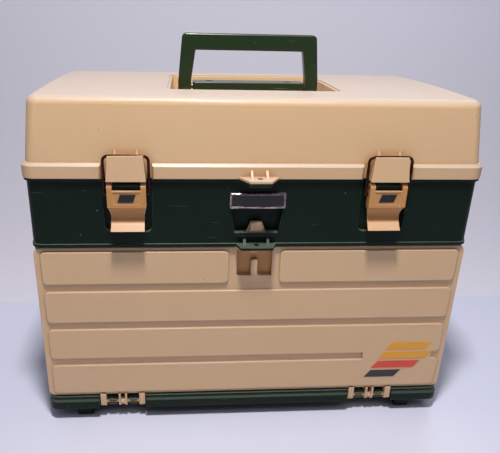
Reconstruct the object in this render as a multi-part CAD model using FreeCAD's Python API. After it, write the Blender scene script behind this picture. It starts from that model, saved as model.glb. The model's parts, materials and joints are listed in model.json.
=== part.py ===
import FreeCAD, Part
import math
import os
from FreeCAD import Vector

# Fishing tackle cabinet: a drawer case with a drop-down front door, an upper tub, a hinged lid
# with a folding handle, two over-centre latches and four drawers with loose dividers.
# Millimetres. +X runs to the right, +Y from the front to the back, +Z up.
# The origin is on the floor, in the middle of the whole outer box.

# Overall sizes
case_width = 512.0
case_depth = 278.0
foot_height = 17.0
sill_height = 18.0
door_height = 206.5
band_height = 82.5
skirt_height = 17.0
lid_rise = 69.0
lid_crown_rise = 3.0
corner_radius = 12.0
moulded_wall = 3.0
cut_overrun = 2.0

# Clearances
seat_gap = 0.3
slide_gap = 0.5
door_gap = 1.5
rim_gap = 1.5
pin_clearance = 0.05

# Base sill and feet
sill_proud = 1.2
sill_front_proud = 2.0
sill_slope_height = 7.0
sill_slope_run = 6.0
sill_edge_fillet = 1.5
foot_width = 19.0
foot_length = 25.0
foot_inset = 33.0
foot_setback = 8.0

# Door, its relief and its recess
door_thickness = 12.0
relief_depth = 2.6
relief_edge_fillet = 1.4
door_corner_radius = 8.0
door_edge_fillet = 1.2
panel_gap = 9.8
panel_top_margin = 4.7
panel_bottom_margin = 4.6
panel_side_margin = 7.5
panel_corner_radius = 6.0
panel_centre_gap = 61.0
badge_flat_start = 109.0
badge_flat_end = 18.0
door_recess_width = 42.0
door_recess_height = 34.8
door_recess_depth = 8.5
door_catch_width = 8.0
door_catch_height = 20.0
door_catch_depth = 5.2

# Door hinges
door_hinge_offset = 163.0
door_hinge_width = 57.0
door_hinge_axis_rise = 6.5
hinge_plate_width = 7.5
hinge_rib_width = 2.5
hinge_centre_width = 5.5
door_pin_radius = 2.6
hinge_clip_width = 10.5
hinge_clip_wall = 2.2
hinge_mouth_height = 4.0
notch_side_gap = 1.0

# Drawers and dividers
drawer_count = 4
first_drawer_rise = 7.0
drawer_gap = 6.5
drawer_top_gap = 9.0
drawer_wall = 2.0
drawer_side_gap = 6.5
drawer_back_gap = 3.0
drawer_corner_radius = 4.0
drawer_pull_reach = 3.6
drawer_pull_gap = 0.9
drawer_pull_width = 120.0
drawer_pull_thickness = 2.5
runner_width = 9.0
runner_thickness = 3.0
divider_thickness = 1.6
divider_drop = 4.0
divider_rib = 1.4
divider_counts = (2, 3, 4, 5)

# Upper tub
rim_bead_height = 4.5
rim_bead_proud = 1.2
rim_bead_fillet = 1.0
tub_flange_proud = 3.0
tub_flange_thickness = 2.8
tub_flange_fillet = 0.8
lap_clearance = 0.3
tab_thickness = 3.0
lock_tab_root_width = 48.0
lock_tab_tip_width = 37.0
lock_tab_reach = 16.0
upper_tab_gap = 0.6
lock_hole_length = 8.0
lock_hole_width = 5.5
lock_hole_setback = 6.0
gusset_thickness = 3.0
gusset_reach = 7.0
gusset_height = 7.0
lower_gusset_offset = 13.6
screw_inset = 40.0
screw_head_radius = 4.0
screw_head_height = 2.4
screw_slot_width = 0.8
screw_slot_depth = 1.2
screw_shank_radius = 1.8
screw_length = 9.0
screw_boss_radius = 4.5
screw_boss_height = 9.5

# Recess, sliding door latch and nameplate in the middle of the tub's front
recess_top_width = 60.0
recess_bottom_width = 50.0
recess_floor_rise = 17.0
recess_depth = 9.0
shelf_proud = 3.0
shelf_lip_height = 3.0
shelf_width = 42.0
knob_width = 16.0
knob_top_width = 12.0
knob_height = 12.6
knob_thickness = 8.5
knob_proud = 2.5
knob_edge_fillet = 1.0
knob_wing_width = 22.7
knob_wing_top_width = 13.5
knob_wing_height = 12.0
knob_wing_thickness = 4.0
bolt_width = 8.0
bolt_thickness = 3.2
bolt_setback = 4.0
bolt_end_drop = 8.5
nameplate_width = 63.5
nameplate_height = 17.8
nameplate_thickness = 2.2
nameplate_border = 2.2
nameplate_gap = 1.5
nameplate_top_margin = 16.7
nameplate_boss_proud = 1.0
nameplate_insert_thickness = 1.2

# Lid
lid_draft = 7.4
lid_inset = 0.5
skirt_clearance = 0.6
skirt_wall = 3.4
skirt_slope = 3.2
skirt_lip_fillet = 0.8
ridge_end_radius = 2.5
lid_top_fillet = 9.0
lid_groove_setback = 22.0
lid_groove_side = 9.0
lid_groove_width = 1.2
lid_groove_depth = 0.8
lid_tab_root_width = 45.0
lid_tab_tip_width = 24.0
lid_tab_reach = 18.0
lid_gusset_offset = 8.5

# Handle well, bracket and handle
well_side_gap = 9.0
well_end_gap = 10.5
well_depth = 25.0
well_draft = 3.0
well_corner_radius = 5.0
well_step_width = 3.0
well_step_depth = 1.4
handle_axis_drop = 3.5
handle_length = 64.5
handle_grip_height = 20.0
handle_thickness = 14.0
handle_leg_width = 16.5
handle_top_half_width = 84.5
handle_bottom_half_width = 90.0
handle_outer_radius = 6.0
handle_inner_radius = 1.0
handle_edge_fillet = 2.5
handle_pin_radius = 3.0
handle_pin_end = 8.0
handle_side_gap = 2.2
bracket_depth = 28.0
bracket_proud = 3.0
bracket_end_wall = 8.0
bracket_screw_inset = 21.3
bracket_boss_radius = 5.5
bracket_edge_fillet = 1.2

# Lid hinge at the back
lid_hinge_offset = 150.0
lid_hinge_radius = 6.0
lid_hinge_drop = 2.0
lid_hinge_pin_radius = 2.5
lid_knuckle_width = 23.0
tub_knuckle_width = 14.0
knuckle_gap = 0.5
lid_hinge_pin_head = 1.5
knuckle_arm_drop = 8.0

# Latches
latch_offset = 145.5
ridge_gap_margin = 1.7
pocket_side_margin = 0.8
pocket_depth = 6.0
pocket_drop = 64.0
pocket_corner_radius = 8.0
keeper_side_taper = 2.6
keeper_front_slope = 2.5
keeper_bottom_drop = 0.5
keeper_side_gap = 1.3
keeper_height = 25.2
keeper_lip_height = 2.6
keeper_lip_top = 1.4
keeper_lip_slope = 1.1
fin_offset = 11.8
fin_thickness = 3.6
fin_top_thickness = 1.0
fin_reach = 3.6
fin_height = 6.5
bail_bar_setback = 7.0
bail_wire_radius = 1.6
bail_side_gap = 1.7
bail_bend_radius = 6.0
bail_pin_length = 7.5
lever_pivot_drop = 8.5
lever_pivot_reach = 7.0
lever_ear_radius = 6.0
lever_half_width = 21.1
lever_tip_half_width = 18.4
ear_thickness = 5.6
lug_gap = 0.6
lug_radius = 3.0
latch_pin_radius = 2.0
bail_pivot_drop = 8.5
bail_pivot_inset = 0.8
lever_front_reach = 13.0
lever_plate_top_drop = 2.2
lever_step_drop = 21.5
lever_step_height = 2.0
lever_step_depth = 3.5
scoop_middle_drop = 33.0
scoop_depth = 7.5
scoop_end_drop = 42.5
lever_tip_drop = 49.0
lever_tip_reach = 15.0
lever_shell = 2.6
ear_back_reach = 1.6
ear_end_drop = 27.0
inlay_width = 20.0
inlay_height = 9.0
inlay_thickness = 0.5
inlay_drop = 11.0
inlay_lean = 3.0
inlay_recess_margin = 4.2
inlay_recess_depth = 0.6

# Badge of slanted bars on the door
badge_bar_height = 10.5
badge_bar_gap = 3.6
badge_bar_lean = 8.0
badge_thickness = 0.4
badge_start = 104.0
badge_bottom_rise = 19.0
badge_bar_lengths = (40.0, 56.0, 62.0, 52.0)

# Levels
sill_top_z = foot_height + sill_height
door_bottom_z = sill_top_z + door_gap
door_top_z = door_bottom_z + door_height
rim_z = door_top_z + rim_gap
case_top_z = rim_z + rim_bead_height
tub_floor_z = case_top_z + moulded_wall
skirt_z = rim_z + band_height
skirt_top_z = skirt_z + skirt_height
rim_top_z = skirt_top_z - moulded_wall - seat_gap
lid_top_z = skirt_top_z + lid_rise
lid_peak_z = lid_top_z + lid_crown_rise
well_floor_z = lid_top_z - well_depth
handle_axis_z = lid_top_z - handle_axis_drop

# Places across and along
half_width = case_width / 2
skirt_proud = skirt_clearance + skirt_wall
front_reach = skirt_proud + lid_tab_reach
back_reach = skirt_proud + slide_gap + 2 * lid_hinge_radius
front_y = -(case_depth + front_reach + back_reach) / 2 + front_reach
back_y = front_y + case_depth
middle_y = (front_y + back_y) / 2
case_front_y = front_y + door_thickness + notch_side_gap
door_hinge_y = front_y + door_thickness / 2
door_hinge_z = foot_height + door_hinge_axis_rise
lid_hinge_y = back_y + back_reach - lid_hinge_radius
lid_hinge_z = skirt_z - lid_hinge_drop
lever_pivot_y = front_y - lever_pivot_reach
lever_pivot_z = skirt_z - lever_pivot_drop
bail_pivot_y = lever_pivot_y + bail_pivot_inset
bail_pivot_z = lever_pivot_z - bail_pivot_drop
keeper_top_z = skirt_z - keeper_bottom_drop + keeper_height
bail_bar_y = front_y - bail_bar_setback
bail_bar_z = keeper_top_z + seat_gap + bail_wire_radius
recess_floor_z = rim_z + recess_floor_rise
bay_half_width = half_width - moulded_wall
bay_top_z = rim_z - door_gap - moulded_wall
lap_inset = moulded_wall + lap_clearance
lap_reach = half_width - lap_inset - moulded_wall
badge_left = half_width - badge_start
well_half_width = handle_bottom_half_width + well_side_gap
well_half_depth = handle_length + well_end_gap
bracket_half_width = handle_bottom_half_width - handle_leg_width - handle_side_gap
bracket_screw_x = bracket_half_width - bracket_screw_inset
bail_half_width = lever_half_width + bail_side_gap + 2 * bail_wire_radius
ridge_gap_half = bail_half_width + ridge_gap_margin
pocket_half_width = bail_half_width + pocket_side_margin
keeper_bottom_half = bail_half_width - 2 * bail_wire_radius - keeper_side_gap
keeper_top_half = keeper_bottom_half - keeper_side_taper
keeper_top_reach = bail_bar_setback + bail_wire_radius + keeper_lip_slope + keeper_lip_top
keeper_bottom_reach = keeper_top_reach + keeper_front_slope

# What fills a given height or depth
panel_margins = panel_top_margin + panel_bottom_margin
panel_height = (door_height - panel_margins - (drawer_count - 1) * panel_gap) / drawer_count
panel_pitch = panel_height + panel_gap
first_drawer_z = sill_top_z + first_drawer_rise
drawer_stack = bay_top_z - first_drawer_z - drawer_top_gap
drawer_height = (drawer_stack - (drawer_count - 1) * drawer_gap) / drawer_count
drawer_pitch = drawer_height + drawer_gap
drawer_front_setback = door_recess_depth + moulded_wall + drawer_pull_gap + drawer_pull_reach
nameplate_rise = band_height - nameplate_top_margin - nameplate_height
recess_height = nameplate_rise - nameplate_gap - recess_floor_rise


def block(xs, ys, zs):
    """A box between two corners, given as pairs of limits."""
    size = (xs[1] - xs[0], ys[1] - ys[0], zs[1] - zs[0])
    return Part.makeBox(size[0], size[1], size[2], Vector(xs[0], ys[0], zs[0]))


def rod(radius, start, end):
    """A round bar between two points."""
    along = Vector(*end) - Vector(*start)
    return Part.makeCylinder(radius, along.Length, Vector(*start), along)


def slab(points, direction):
    """A flat outline of points, extruded along a direction."""
    corners = [Vector(*point) for point in points]
    return Part.Face(Part.makePolygon(corners + corners[:1])).extrude(Vector(*direction))


def slab_x(points, xs):
    """An outline in Y and Z, extruded from one X to another."""
    return slab([(xs[0], y, z) for y, z in points], (xs[1] - xs[0], 0, 0))


def slab_y(points, ys):
    """An outline in X and Z, extruded from one Y to another."""
    return slab([(x, ys[0], z) for x, z in points], (0, ys[1] - ys[0], 0))


def slab_z(points, zs):
    """An outline in X and Y, extruded from one Z to another."""
    return slab([(x, y, zs[0]) for x, y in points], (0, 0, zs[1] - zs[0]))


def rounded_wire(half, ys, radius, z):
    """A level rectangle with round corners, centred on X."""
    centres = [
        (half - radius, ys[1] - radius), (radius - half, ys[1] - radius),
        (radius - half, ys[0] + radius), (half - radius, ys[0] + radius),
    ]
    edges = []
    for turn, (x, y) in enumerate(centres):
        arc = Part.makeCircle(radius, Vector(x, y, z), Vector(0, 0, 1), 90 * turn, 90 * turn + 90)
        edges.append(arc)
    ends = [(edge.valueAt(edge.FirstParameter), edge.valueAt(edge.LastParameter)) for edge in edges]
    sides = [Part.makeLine(ends[i][1], ends[(i + 1) % 4][0]) for i in range(4)]
    return Part.Wire([edge for pair in zip(edges, sides) for edge in pair])


def rounded_block(half, ys, radius, zs):
    """An upright block with round corners, centred on X."""
    return Part.Face(rounded_wire(half, ys, radius, zs[0])).extrude(Vector(0, 0, zs[1] - zs[0]))


def drafted_block(half, ys, radius, zs, draft):
    """A block with round corners whose four walls lean in by the draft from bottom to top."""
    lower = rounded_wire(half, ys, radius, zs[0])
    upper = rounded_wire(half - draft, (ys[0] + draft, ys[1] - draft), radius, zs[1])
    return Part.makeLoft([lower, upper], True, True)


def rounded_panel(xs, ys, zs, radius):
    """A flat panel that faces the front, with round corners in X and Z."""
    panel = block(xs, ys, zs)
    upright = [e for e in panel.Edges if abs(e.BoundBox.YLength - (ys[1] - ys[0])) < e.Tolerance]
    return panel.makeFillet(radius, upright)


def edges_at(shape, axis, value, reach):
    """The edges that lie in one plane: axis is X, Y or Z."""
    found = []
    for edge in shape.Edges:
        limits = (getattr(edge.BoundBox, axis + "Min"), getattr(edge.BoundBox, axis + "Max"))
        if abs(limits[0] - value) < reach and abs(limits[1] - value) < reach:
            found.append(edge)
    return found


def joined(shapes):
    """One solid made of touching or crossing shapes."""
    return shapes[0].multiFuse(shapes[1:]).removeSplitter()


def without(shape, tools):
    """The shape with each tool cut out of it."""
    for tool in tools:
        shape = shape.cut(tool)
    return shape


def mirrored(shape):
    """The same shape on the other side of the middle."""
    return shape.mirror(Vector(0, 0, 0), Vector(1, 0, 0))


def oblong_hole(x, y, length, width, zs):
    """A slot with round ends, longer along Y, for a padlock's shackle."""
    straight = (length - width) / 2
    radius = width / 2
    body = block((x - radius, x + radius), (y - straight, y + straight), zs)
    ends = [rod(radius, (x, y + s * straight, zs[0]), (x, y + s * straight, zs[1])) for s in (-1, 1)]
    return joined([body] + ends)


def lock_tab(root_y, root_width, tip_width, reach, z, gusset_x):
    """A level padlock tab that narrows to the front, with two gussets above it."""
    outline = [
        (-root_width / 2, root_y + moulded_wall / 2), (-root_width / 2, root_y),
        (-tip_width / 2, root_y - reach), (tip_width / 2, root_y - reach),
        (root_width / 2, root_y), (root_width / 2, root_y + moulded_wall / 2),
    ]
    shapes = [slab_z(outline, (z, z + tab_thickness))]
    for side in (-1, 1):
        xs = (side * gusset_x - gusset_thickness / 2, side * gusset_x + gusset_thickness / 2)
        rib = [
            (root_y + moulded_wall / 2, z + tab_thickness), (root_y - gusset_reach, z + tab_thickness),
            (root_y, z + tab_thickness + gusset_height),
            (root_y + moulded_wall / 2, z + tab_thickness + gusset_height),
        ]
        shapes.append(slab_x(rib, xs))
    return joined(shapes)


def lock_hole(root_y, reach, zs):
    """The shackle's slot through a padlock tab."""
    return oblong_hole(0, root_y - reach + lock_hole_setback + lock_hole_length / 2,
                       lock_hole_length, lock_hole_width, zs)


def hinge_notch(centre):
    """The opening in the sill that one door hinge turns in."""
    reach = door_hinge_width / 2 + notch_side_gap
    return block((centre - reach, centre + reach),
                 (front_y - sill_front_proud - cut_overrun, case_front_y + slide_gap),
                 (foot_height - cut_overrun, sill_top_z + cut_overrun))


def hinge_clips(centre):
    """Two hooks that snap round the door's hinge pin, one each side of its middle."""
    outer = door_pin_radius + pin_clearance + hinge_clip_wall
    bay = (door_hinge_width / 2 - hinge_plate_width + hinge_centre_width / 2 + hinge_rib_width) / 2
    hooks = []
    for side in (-1, 1):
        middle = centre + side * bay
        xs = (middle - hinge_clip_width / 2, middle + hinge_clip_width / 2)
        ring = rod(outer, (xs[0], door_hinge_y, door_hinge_z), (xs[1], door_hinge_y, door_hinge_z))
        arm = block(xs, (door_hinge_y, case_front_y + slide_gap + moulded_wall),
                    (door_hinge_z - outer, door_hinge_z + outer))
        bore = rod(door_pin_radius + pin_clearance,
                   (xs[0] - cut_overrun, door_hinge_y, door_hinge_z),
                   (xs[1] + cut_overrun, door_hinge_y, door_hinge_z))
        mouth = block((xs[0] - cut_overrun, xs[1] + cut_overrun),
                      (door_hinge_y - outer - cut_overrun, door_hinge_y),
                      (door_hinge_z - hinge_mouth_height / 2, door_hinge_z + hinge_mouth_height / 2))
        hooks.append(without(ring.fuse(arm), [bore, mouth]))
    return hooks


def drawer_floor_z(index):
    """The underside of a drawer, counted from the bottom."""
    return first_drawer_z + index * drawer_pitch


def case_runners():
    """A ledge on each side wall under every drawer."""
    ledges = []
    ys = (case_front_y + drawer_front_setback - door_thickness, back_y - corner_radius)
    for index in range(drawer_count):
        top = drawer_floor_z(index) - seat_gap
        ledge = block((bay_half_width - runner_width, half_width - moulded_wall / 2), ys,
                      (top - runner_thickness, top))
        ledges += [ledge, mirrored(ledge)]
    return ledges


def case_feet():
    """Four posts under the floor that carry the cabinet just clear of the ground."""
    posts = []
    x = half_width - foot_inset
    for side in (-1, 1):
        xs = sorted((side * x, side * (x - foot_width)))
        for near, far in ((front_y + foot_setback, front_y + foot_setback + foot_length),
                          (back_y - foot_setback - foot_length, back_y - foot_setback)):
            posts.append(block(xs, (near, far), (0, sill_top_z - moulded_wall / 2)))
    return posts


def screw_bosses():
    """Short posts inside the case's rim that take the tub's screws."""
    posts = []
    for x, y in tub_screw_places():
        post = rod(screw_boss_radius, (x, y, case_top_z - screw_boss_height), (x, y, case_top_z))
        hole = rod(screw_shank_radius + pin_clearance,
                   (x, y, case_top_z - screw_boss_height - cut_overrun), (x, y, case_top_z + cut_overrun))
        posts.append(post.cut(hole))
    return posts


def drawer_case():
    """The lower moulding: base sill, floor, side and back walls, runners and hinge clips."""
    depth = (front_y, back_y)
    slope_z = sill_top_z - sill_slope_height
    base = rounded_block(half_width + sill_proud, (front_y - sill_front_proud, back_y + sill_proud),
                         corner_radius, (foot_height, slope_z))
    base = base.makeFillet(sill_edge_fillet, edges_at(base, "Z", foot_height, slide_gap))
    lower = rounded_wire(half_width + sill_proud, (front_y - sill_front_proud, back_y + sill_proud),
                         corner_radius, slope_z)
    upper = rounded_wire(half_width, (front_y - sill_front_proud + sill_slope_run, back_y),
                         corner_radius, sill_top_z)
    slope = Part.makeLoft([lower, upper], True, True)
    walls = rounded_block(half_width, depth, corner_radius,
                          (sill_top_z - moulded_wall, rim_z - door_gap))
    lap = rounded_block(half_width - lap_inset, (front_y + lap_inset, back_y - lap_inset),
                        corner_radius - lap_inset, (rim_z - door_gap, case_top_z))
    shell = joined([base, slope, walls, lap])
    under_ys = (front_y + sill_front_proud, back_y - slide_gap)
    under = rounded_block(half_width - slide_gap, under_ys, corner_radius - moulded_wall,
                          (foot_height - cut_overrun, sill_top_z - moulded_wall))
    bay = rounded_block(bay_half_width, (front_y - corner_radius, back_y - moulded_wall),
                        corner_radius - moulded_wall, (sill_top_z, bay_top_z))
    header_back = case_front_y + 2 * moulded_wall
    top = block((-lap_reach, lap_reach), (header_back, back_y - lap_inset - moulded_wall),
                (bay_top_z - cut_overrun, case_top_z + cut_overrun))
    door_space = block((-case_width, case_width), (front_y - case_depth, case_front_y),
                       (sill_top_z, rim_z - door_gap))
    bolt_slot = block((-bolt_width / 2 - slide_gap, bolt_width / 2 + slide_gap),
                      (front_y + bolt_setback - slide_gap,
                       front_y + bolt_setback + bolt_thickness + slide_gap),
                      (bay_top_z - cut_overrun, case_top_z + cut_overrun))
    shell = without(shell, [under, bay, top, door_space, bolt_slot])
    shapes = [shell] + case_runners() + case_feet() + screw_bosses()
    notches = []
    for centre in (-door_hinge_offset, door_hinge_offset):
        reach = door_hinge_width / 2 + notch_side_gap + moulded_wall
        shapes.append(block((centre - reach, centre + reach),
                            (front_y, case_front_y + slide_gap + moulded_wall),
                            (foot_height, sill_top_z - moulded_wall / 2)))
        notches.append(hinge_notch(centre))
    shell = without(joined(shapes), notches)
    clips = hinge_clips(-door_hinge_offset) + hinge_clips(door_hinge_offset)
    return joined([shell] + clips)


def door_pads():
    """The raised drawer-like fields on the door's face."""
    right = half_width - panel_side_margin
    ys = (front_y, front_y + relief_depth + moulded_wall / 2)
    tops = [door_top_z - panel_top_margin - row * panel_pitch for row in range(drawer_count)]
    fields = [(-right, -panel_centre_gap / 2, tops[0]), (panel_centre_gap / 2, right, tops[0])]
    fields += [(-right, right, top) for top in tops[1:]]
    pads = []
    for left, end, top in fields:
        pad = rounded_panel((left, end), ys, (top - panel_height, top), panel_corner_radius)
        pads.append(pad.makeFillet(relief_edge_fillet, edges_at(pad, "Y", front_y, slide_gap)))
    bridge = block((half_width - badge_flat_start, half_width - badge_flat_end), ys,
                   (tops[-1] - relief_depth, tops[-2] - panel_height + relief_depth))
    return pads + [bridge]


def door_hinge_parts(centre):
    """Plates and a pin under the door's lower edge, which turn in the sill's notch."""
    half = door_hinge_width / 2
    radius = door_thickness / 2
    inner = hinge_centre_width / 2
    spans = [
        (centre - half, centre - half + hinge_plate_width),
        (centre + half - hinge_plate_width, centre + half),
        (centre - inner - hinge_rib_width, centre - inner),
        (centre + inner, centre + inner + hinge_rib_width),
    ]
    shapes = []
    for xs in spans:
        shapes.append(rod(radius, (xs[0], door_hinge_y, door_hinge_z), (xs[1], door_hinge_y, door_hinge_z)))
        shapes.append(block(xs, (door_hinge_y - radius, door_hinge_y + radius),
                            (door_hinge_z, door_bottom_z + moulded_wall / 2)))
    shapes.append(rod(door_pin_radius, (centre - half, door_hinge_y, door_hinge_z),
                      (centre + half, door_hinge_y, door_hinge_z)))
    shapes.append(rod(door_pin_radius + hinge_clip_wall, (centre - inner, door_hinge_y, door_hinge_z),
                      (centre + inner, door_hinge_y, door_hinge_z)))
    return shapes


def door_panel():
    """The drop-down front door: a pan with raised fields, a lock recess and hinge plates."""
    xs = (-half_width, half_width)
    zs = (door_bottom_z, door_top_z)
    face_y = front_y + relief_depth
    pan = rounded_panel(xs, (face_y, front_y + door_thickness), zs, door_corner_radius)
    pan = pan.makeFillet(door_edge_fillet, edges_at(pan, "Y", face_y, slide_gap))
    hollow = rounded_panel((xs[0] + moulded_wall, xs[1] - moulded_wall),
                           (face_y + moulded_wall, front_y + door_thickness + cut_overrun),
                           (zs[0] + moulded_wall, zs[1] - moulded_wall), door_corner_radius - moulded_wall)
    recess_half = door_recess_width / 2
    recess_top = door_top_z - moulded_wall
    recess_zs = (recess_top - door_recess_height, recess_top)
    housing = block((-recess_half - moulded_wall, recess_half + moulded_wall),
                    (face_y, front_y + door_recess_depth + moulded_wall),
                    (recess_zs[0] - moulded_wall, door_top_z))
    recess = block((-recess_half, recess_half), (front_y - cut_overrun, front_y + door_recess_depth),
                   recess_zs)
    recess_back = front_y + door_recess_depth
    catch = block((-door_catch_width / 2, door_catch_width / 2),
                  (recess_back - door_catch_depth, recess_back + moulded_wall / 2),
                  (recess_zs[0] - moulded_wall / 2, recess_zs[0] + door_catch_height))
    bolt_slot = block((-bolt_width / 2 - slide_gap, bolt_width / 2 + slide_gap),
                      (front_y + bolt_setback - slide_gap,
                       front_y + bolt_setback + bolt_thickness + slide_gap),
                      (recess_top - cut_overrun, door_top_z + cut_overrun))
    shapes = [pan.cut(hollow), housing] + door_pads()
    for centre in (-door_hinge_offset, door_hinge_offset):
        shapes += door_hinge_parts(centre)
    return without(joined(shapes), [recess]).fuse(catch).cut(bolt_slot).removeSplitter()


def badge_bar(index):
    """One slanted bar of the badge, counted from the bottom."""
    z = door_bottom_z + badge_bottom_rise + index * (badge_bar_height + badge_bar_gap)
    left = badge_left + index * badge_bar_lean
    right = left + badge_bar_lengths[index]
    outline = [(left, z), (right, z), (right + badge_bar_lean, z + badge_bar_height),
               (left + badge_bar_lean, z + badge_bar_height)]
    return slab_y(outline, (front_y - badge_thickness, front_y))


def drawer(index):
    """One pull-out drawer, with a finger pull and rib pairs that hold its dividers."""
    half = bay_half_width - drawer_side_gap
    ys = (front_y + drawer_front_setback, back_y - moulded_wall - drawer_back_gap)
    zs = (drawer_floor_z(index), drawer_floor_z(index) + drawer_height)
    tray = rounded_block(half, ys, drawer_corner_radius, zs)
    inside = rounded_block(half - drawer_wall, (ys[0] + drawer_wall, ys[1] - drawer_wall),
                           drawer_corner_radius - drawer_wall, (zs[0] + drawer_wall, zs[1] + cut_overrun))
    pull_zs = (zs[1] - drawer_pull_thickness, zs[1])
    pull = block((-drawer_pull_width / 2, drawer_pull_width / 2),
                 (ys[0] - drawer_pull_reach, ys[0] + drawer_wall / 2), pull_zs)
    pull_lip = block((-drawer_pull_width / 2, drawer_pull_width / 2),
                     (ys[0] - drawer_pull_reach, ys[0] - drawer_pull_reach + drawer_pull_thickness),
                     (zs[1] - 3 * drawer_pull_thickness, zs[1]))
    shapes = [tray.cut(inside), pull, pull_lip]
    rib_zs = (zs[0] + drawer_wall / 2, zs[1] - divider_drop)
    rib_spans = ((ys[0] + drawer_wall / 2, ys[0] + drawer_wall + divider_rib),
                 (ys[1] - drawer_wall - divider_rib, ys[1] - drawer_wall / 2))
    for x in divider_places(index):
        for side in (-1, 1):
            middle = x + side * (divider_thickness / 2 + seat_gap + divider_rib / 2)
            rib_xs = (middle - divider_rib / 2, middle + divider_rib / 2)
            shapes += [block(rib_xs, rib_ys, rib_zs) for rib_ys in rib_spans]
    return joined(shapes)


def divider_places(index):
    """The dividers' places across a drawer, evenly spaced."""
    count = divider_counts[index]
    span = 2 * (bay_half_width - drawer_side_gap)
    return [span * (place + 1) / (count + 1) - span / 2 for place in range(count)]


def drawer_dividers(index):
    """The loose dividers that stand between the drawer's rib pairs."""
    ys = (front_y + drawer_front_setback + drawer_wall + seat_gap,
          back_y - moulded_wall - drawer_back_gap - drawer_wall - seat_gap)
    zs = (drawer_floor_z(index) + drawer_wall, drawer_floor_z(index) + drawer_height - divider_drop)
    plates = []
    for x in divider_places(index):
        plates.append(block((x - divider_thickness / 2, x + divider_thickness / 2), ys, zs))
    return Part.makeCompound(plates)


def pocket_outline(centre, half, bottom_z, top_z, ys):
    """An upright pocket with a round-cornered lower end."""
    upper = block((centre - half, centre + half), ys, (bottom_z + pocket_corner_radius, top_z))
    lower = block((centre - half + pocket_corner_radius, centre + half - pocket_corner_radius), ys,
                  (bottom_z, top_z))
    shapes = [upper, lower]
    for side in (-1, 1):
        x = centre + side * (half - pocket_corner_radius)
        shapes.append(rod(pocket_corner_radius, (x, ys[0], bottom_z + pocket_corner_radius),
                          (x, ys[1], bottom_z + pocket_corner_radius)))
    return joined(shapes)


def latch_lug(centre):
    """The block that stands out of a pocket and carries one lever's pin."""
    half = lever_half_width - ear_thickness - lug_gap
    xs = (centre - half, centre + half)
    nose = rod(lug_radius, (xs[0], lever_pivot_y, lever_pivot_z), (xs[1], lever_pivot_y, lever_pivot_z))
    web = block(xs, (lever_pivot_y, front_y + pocket_depth + moulded_wall / 2),
                (lever_pivot_z - lug_radius, lever_pivot_z + lug_radius))
    bore = rod(latch_pin_radius + pin_clearance, (xs[0] - cut_overrun, lever_pivot_y, lever_pivot_z),
               (xs[1] + cut_overrun, lever_pivot_y, lever_pivot_z))
    return nose.fuse(web).cut(bore)


def tub_knuckles(centre):
    """Two hinge knuckles on the tub's back wall, one each side of the lid's."""
    shapes = []
    for side in (-1, 1):
        near = centre + side * (lid_knuckle_width / 2 + knuckle_gap)
        xs = sorted((near, near + side * tub_knuckle_width))
        arm = [(back_y - moulded_wall / 2, lid_hinge_z), (lid_hinge_y, lid_hinge_z),
               (lid_hinge_y, lid_hinge_z - lid_hinge_radius),
               (back_y - moulded_wall / 2, lid_hinge_z - lid_hinge_radius - knuckle_arm_drop)]
        body = rod(lid_hinge_radius, (xs[0], lid_hinge_y, lid_hinge_z), (xs[1], lid_hinge_y, lid_hinge_z))
        bore = rod(lid_hinge_pin_radius + pin_clearance,
                   (xs[0] - cut_overrun, lid_hinge_y, lid_hinge_z),
                   (xs[1] + cut_overrun, lid_hinge_y, lid_hinge_z))
        shapes.append(body.fuse(slab_x(arm, xs)).cut(bore))
    return shapes


def recess_outline(inset, ys):
    """The recess that narrows downwards round the door latch's knob."""
    top_z = recess_floor_z + recess_height
    outline = [
        (-recess_bottom_width / 2 - inset, recess_floor_z - inset),
        (recess_bottom_width / 2 + inset, recess_floor_z - inset),
        (recess_top_width / 2 + inset, top_z + inset), (-recess_top_width / 2 - inset, top_z + inset),
    ]
    return slab_y(outline, ys)


def tub_screw_places():
    """Where screws hold the tub's floor down on the case's bosses."""
    edge = lap_reach + moulded_wall / 2 - screw_boss_radius
    ys = (front_y + screw_inset, middle_y, back_y - screw_inset)
    return [(side * edge, y) for side in (-1, 1) for y in ys]


def tub_flange():
    """The tub's outward rim under the lid's skirt, open at the latches and along the back."""
    zs = (skirt_z - seat_gap - tub_flange_thickness, skirt_z - seat_gap)
    near, far = front_y - tub_flange_proud, back_y + tub_flange_proud
    half = half_width + tub_flange_proud
    flange = rounded_block(half, (near, far), corner_radius + tub_flange_proud, zs)
    flange = flange.makeFillet(tub_flange_fillet, edges_at(flange, "Z", zs[0], slide_gap))
    gaps = [block((-half - cut_overrun, half + cut_overrun), (back_y - corner_radius, far + cut_overrun), zs)]
    for centre in (-latch_offset, latch_offset):
        gaps.append(block((centre - ridge_gap_half, centre + ridge_gap_half),
                          (near - cut_overrun, front_y + moulded_wall / 2), zs))
    return without(flange, gaps)


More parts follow.
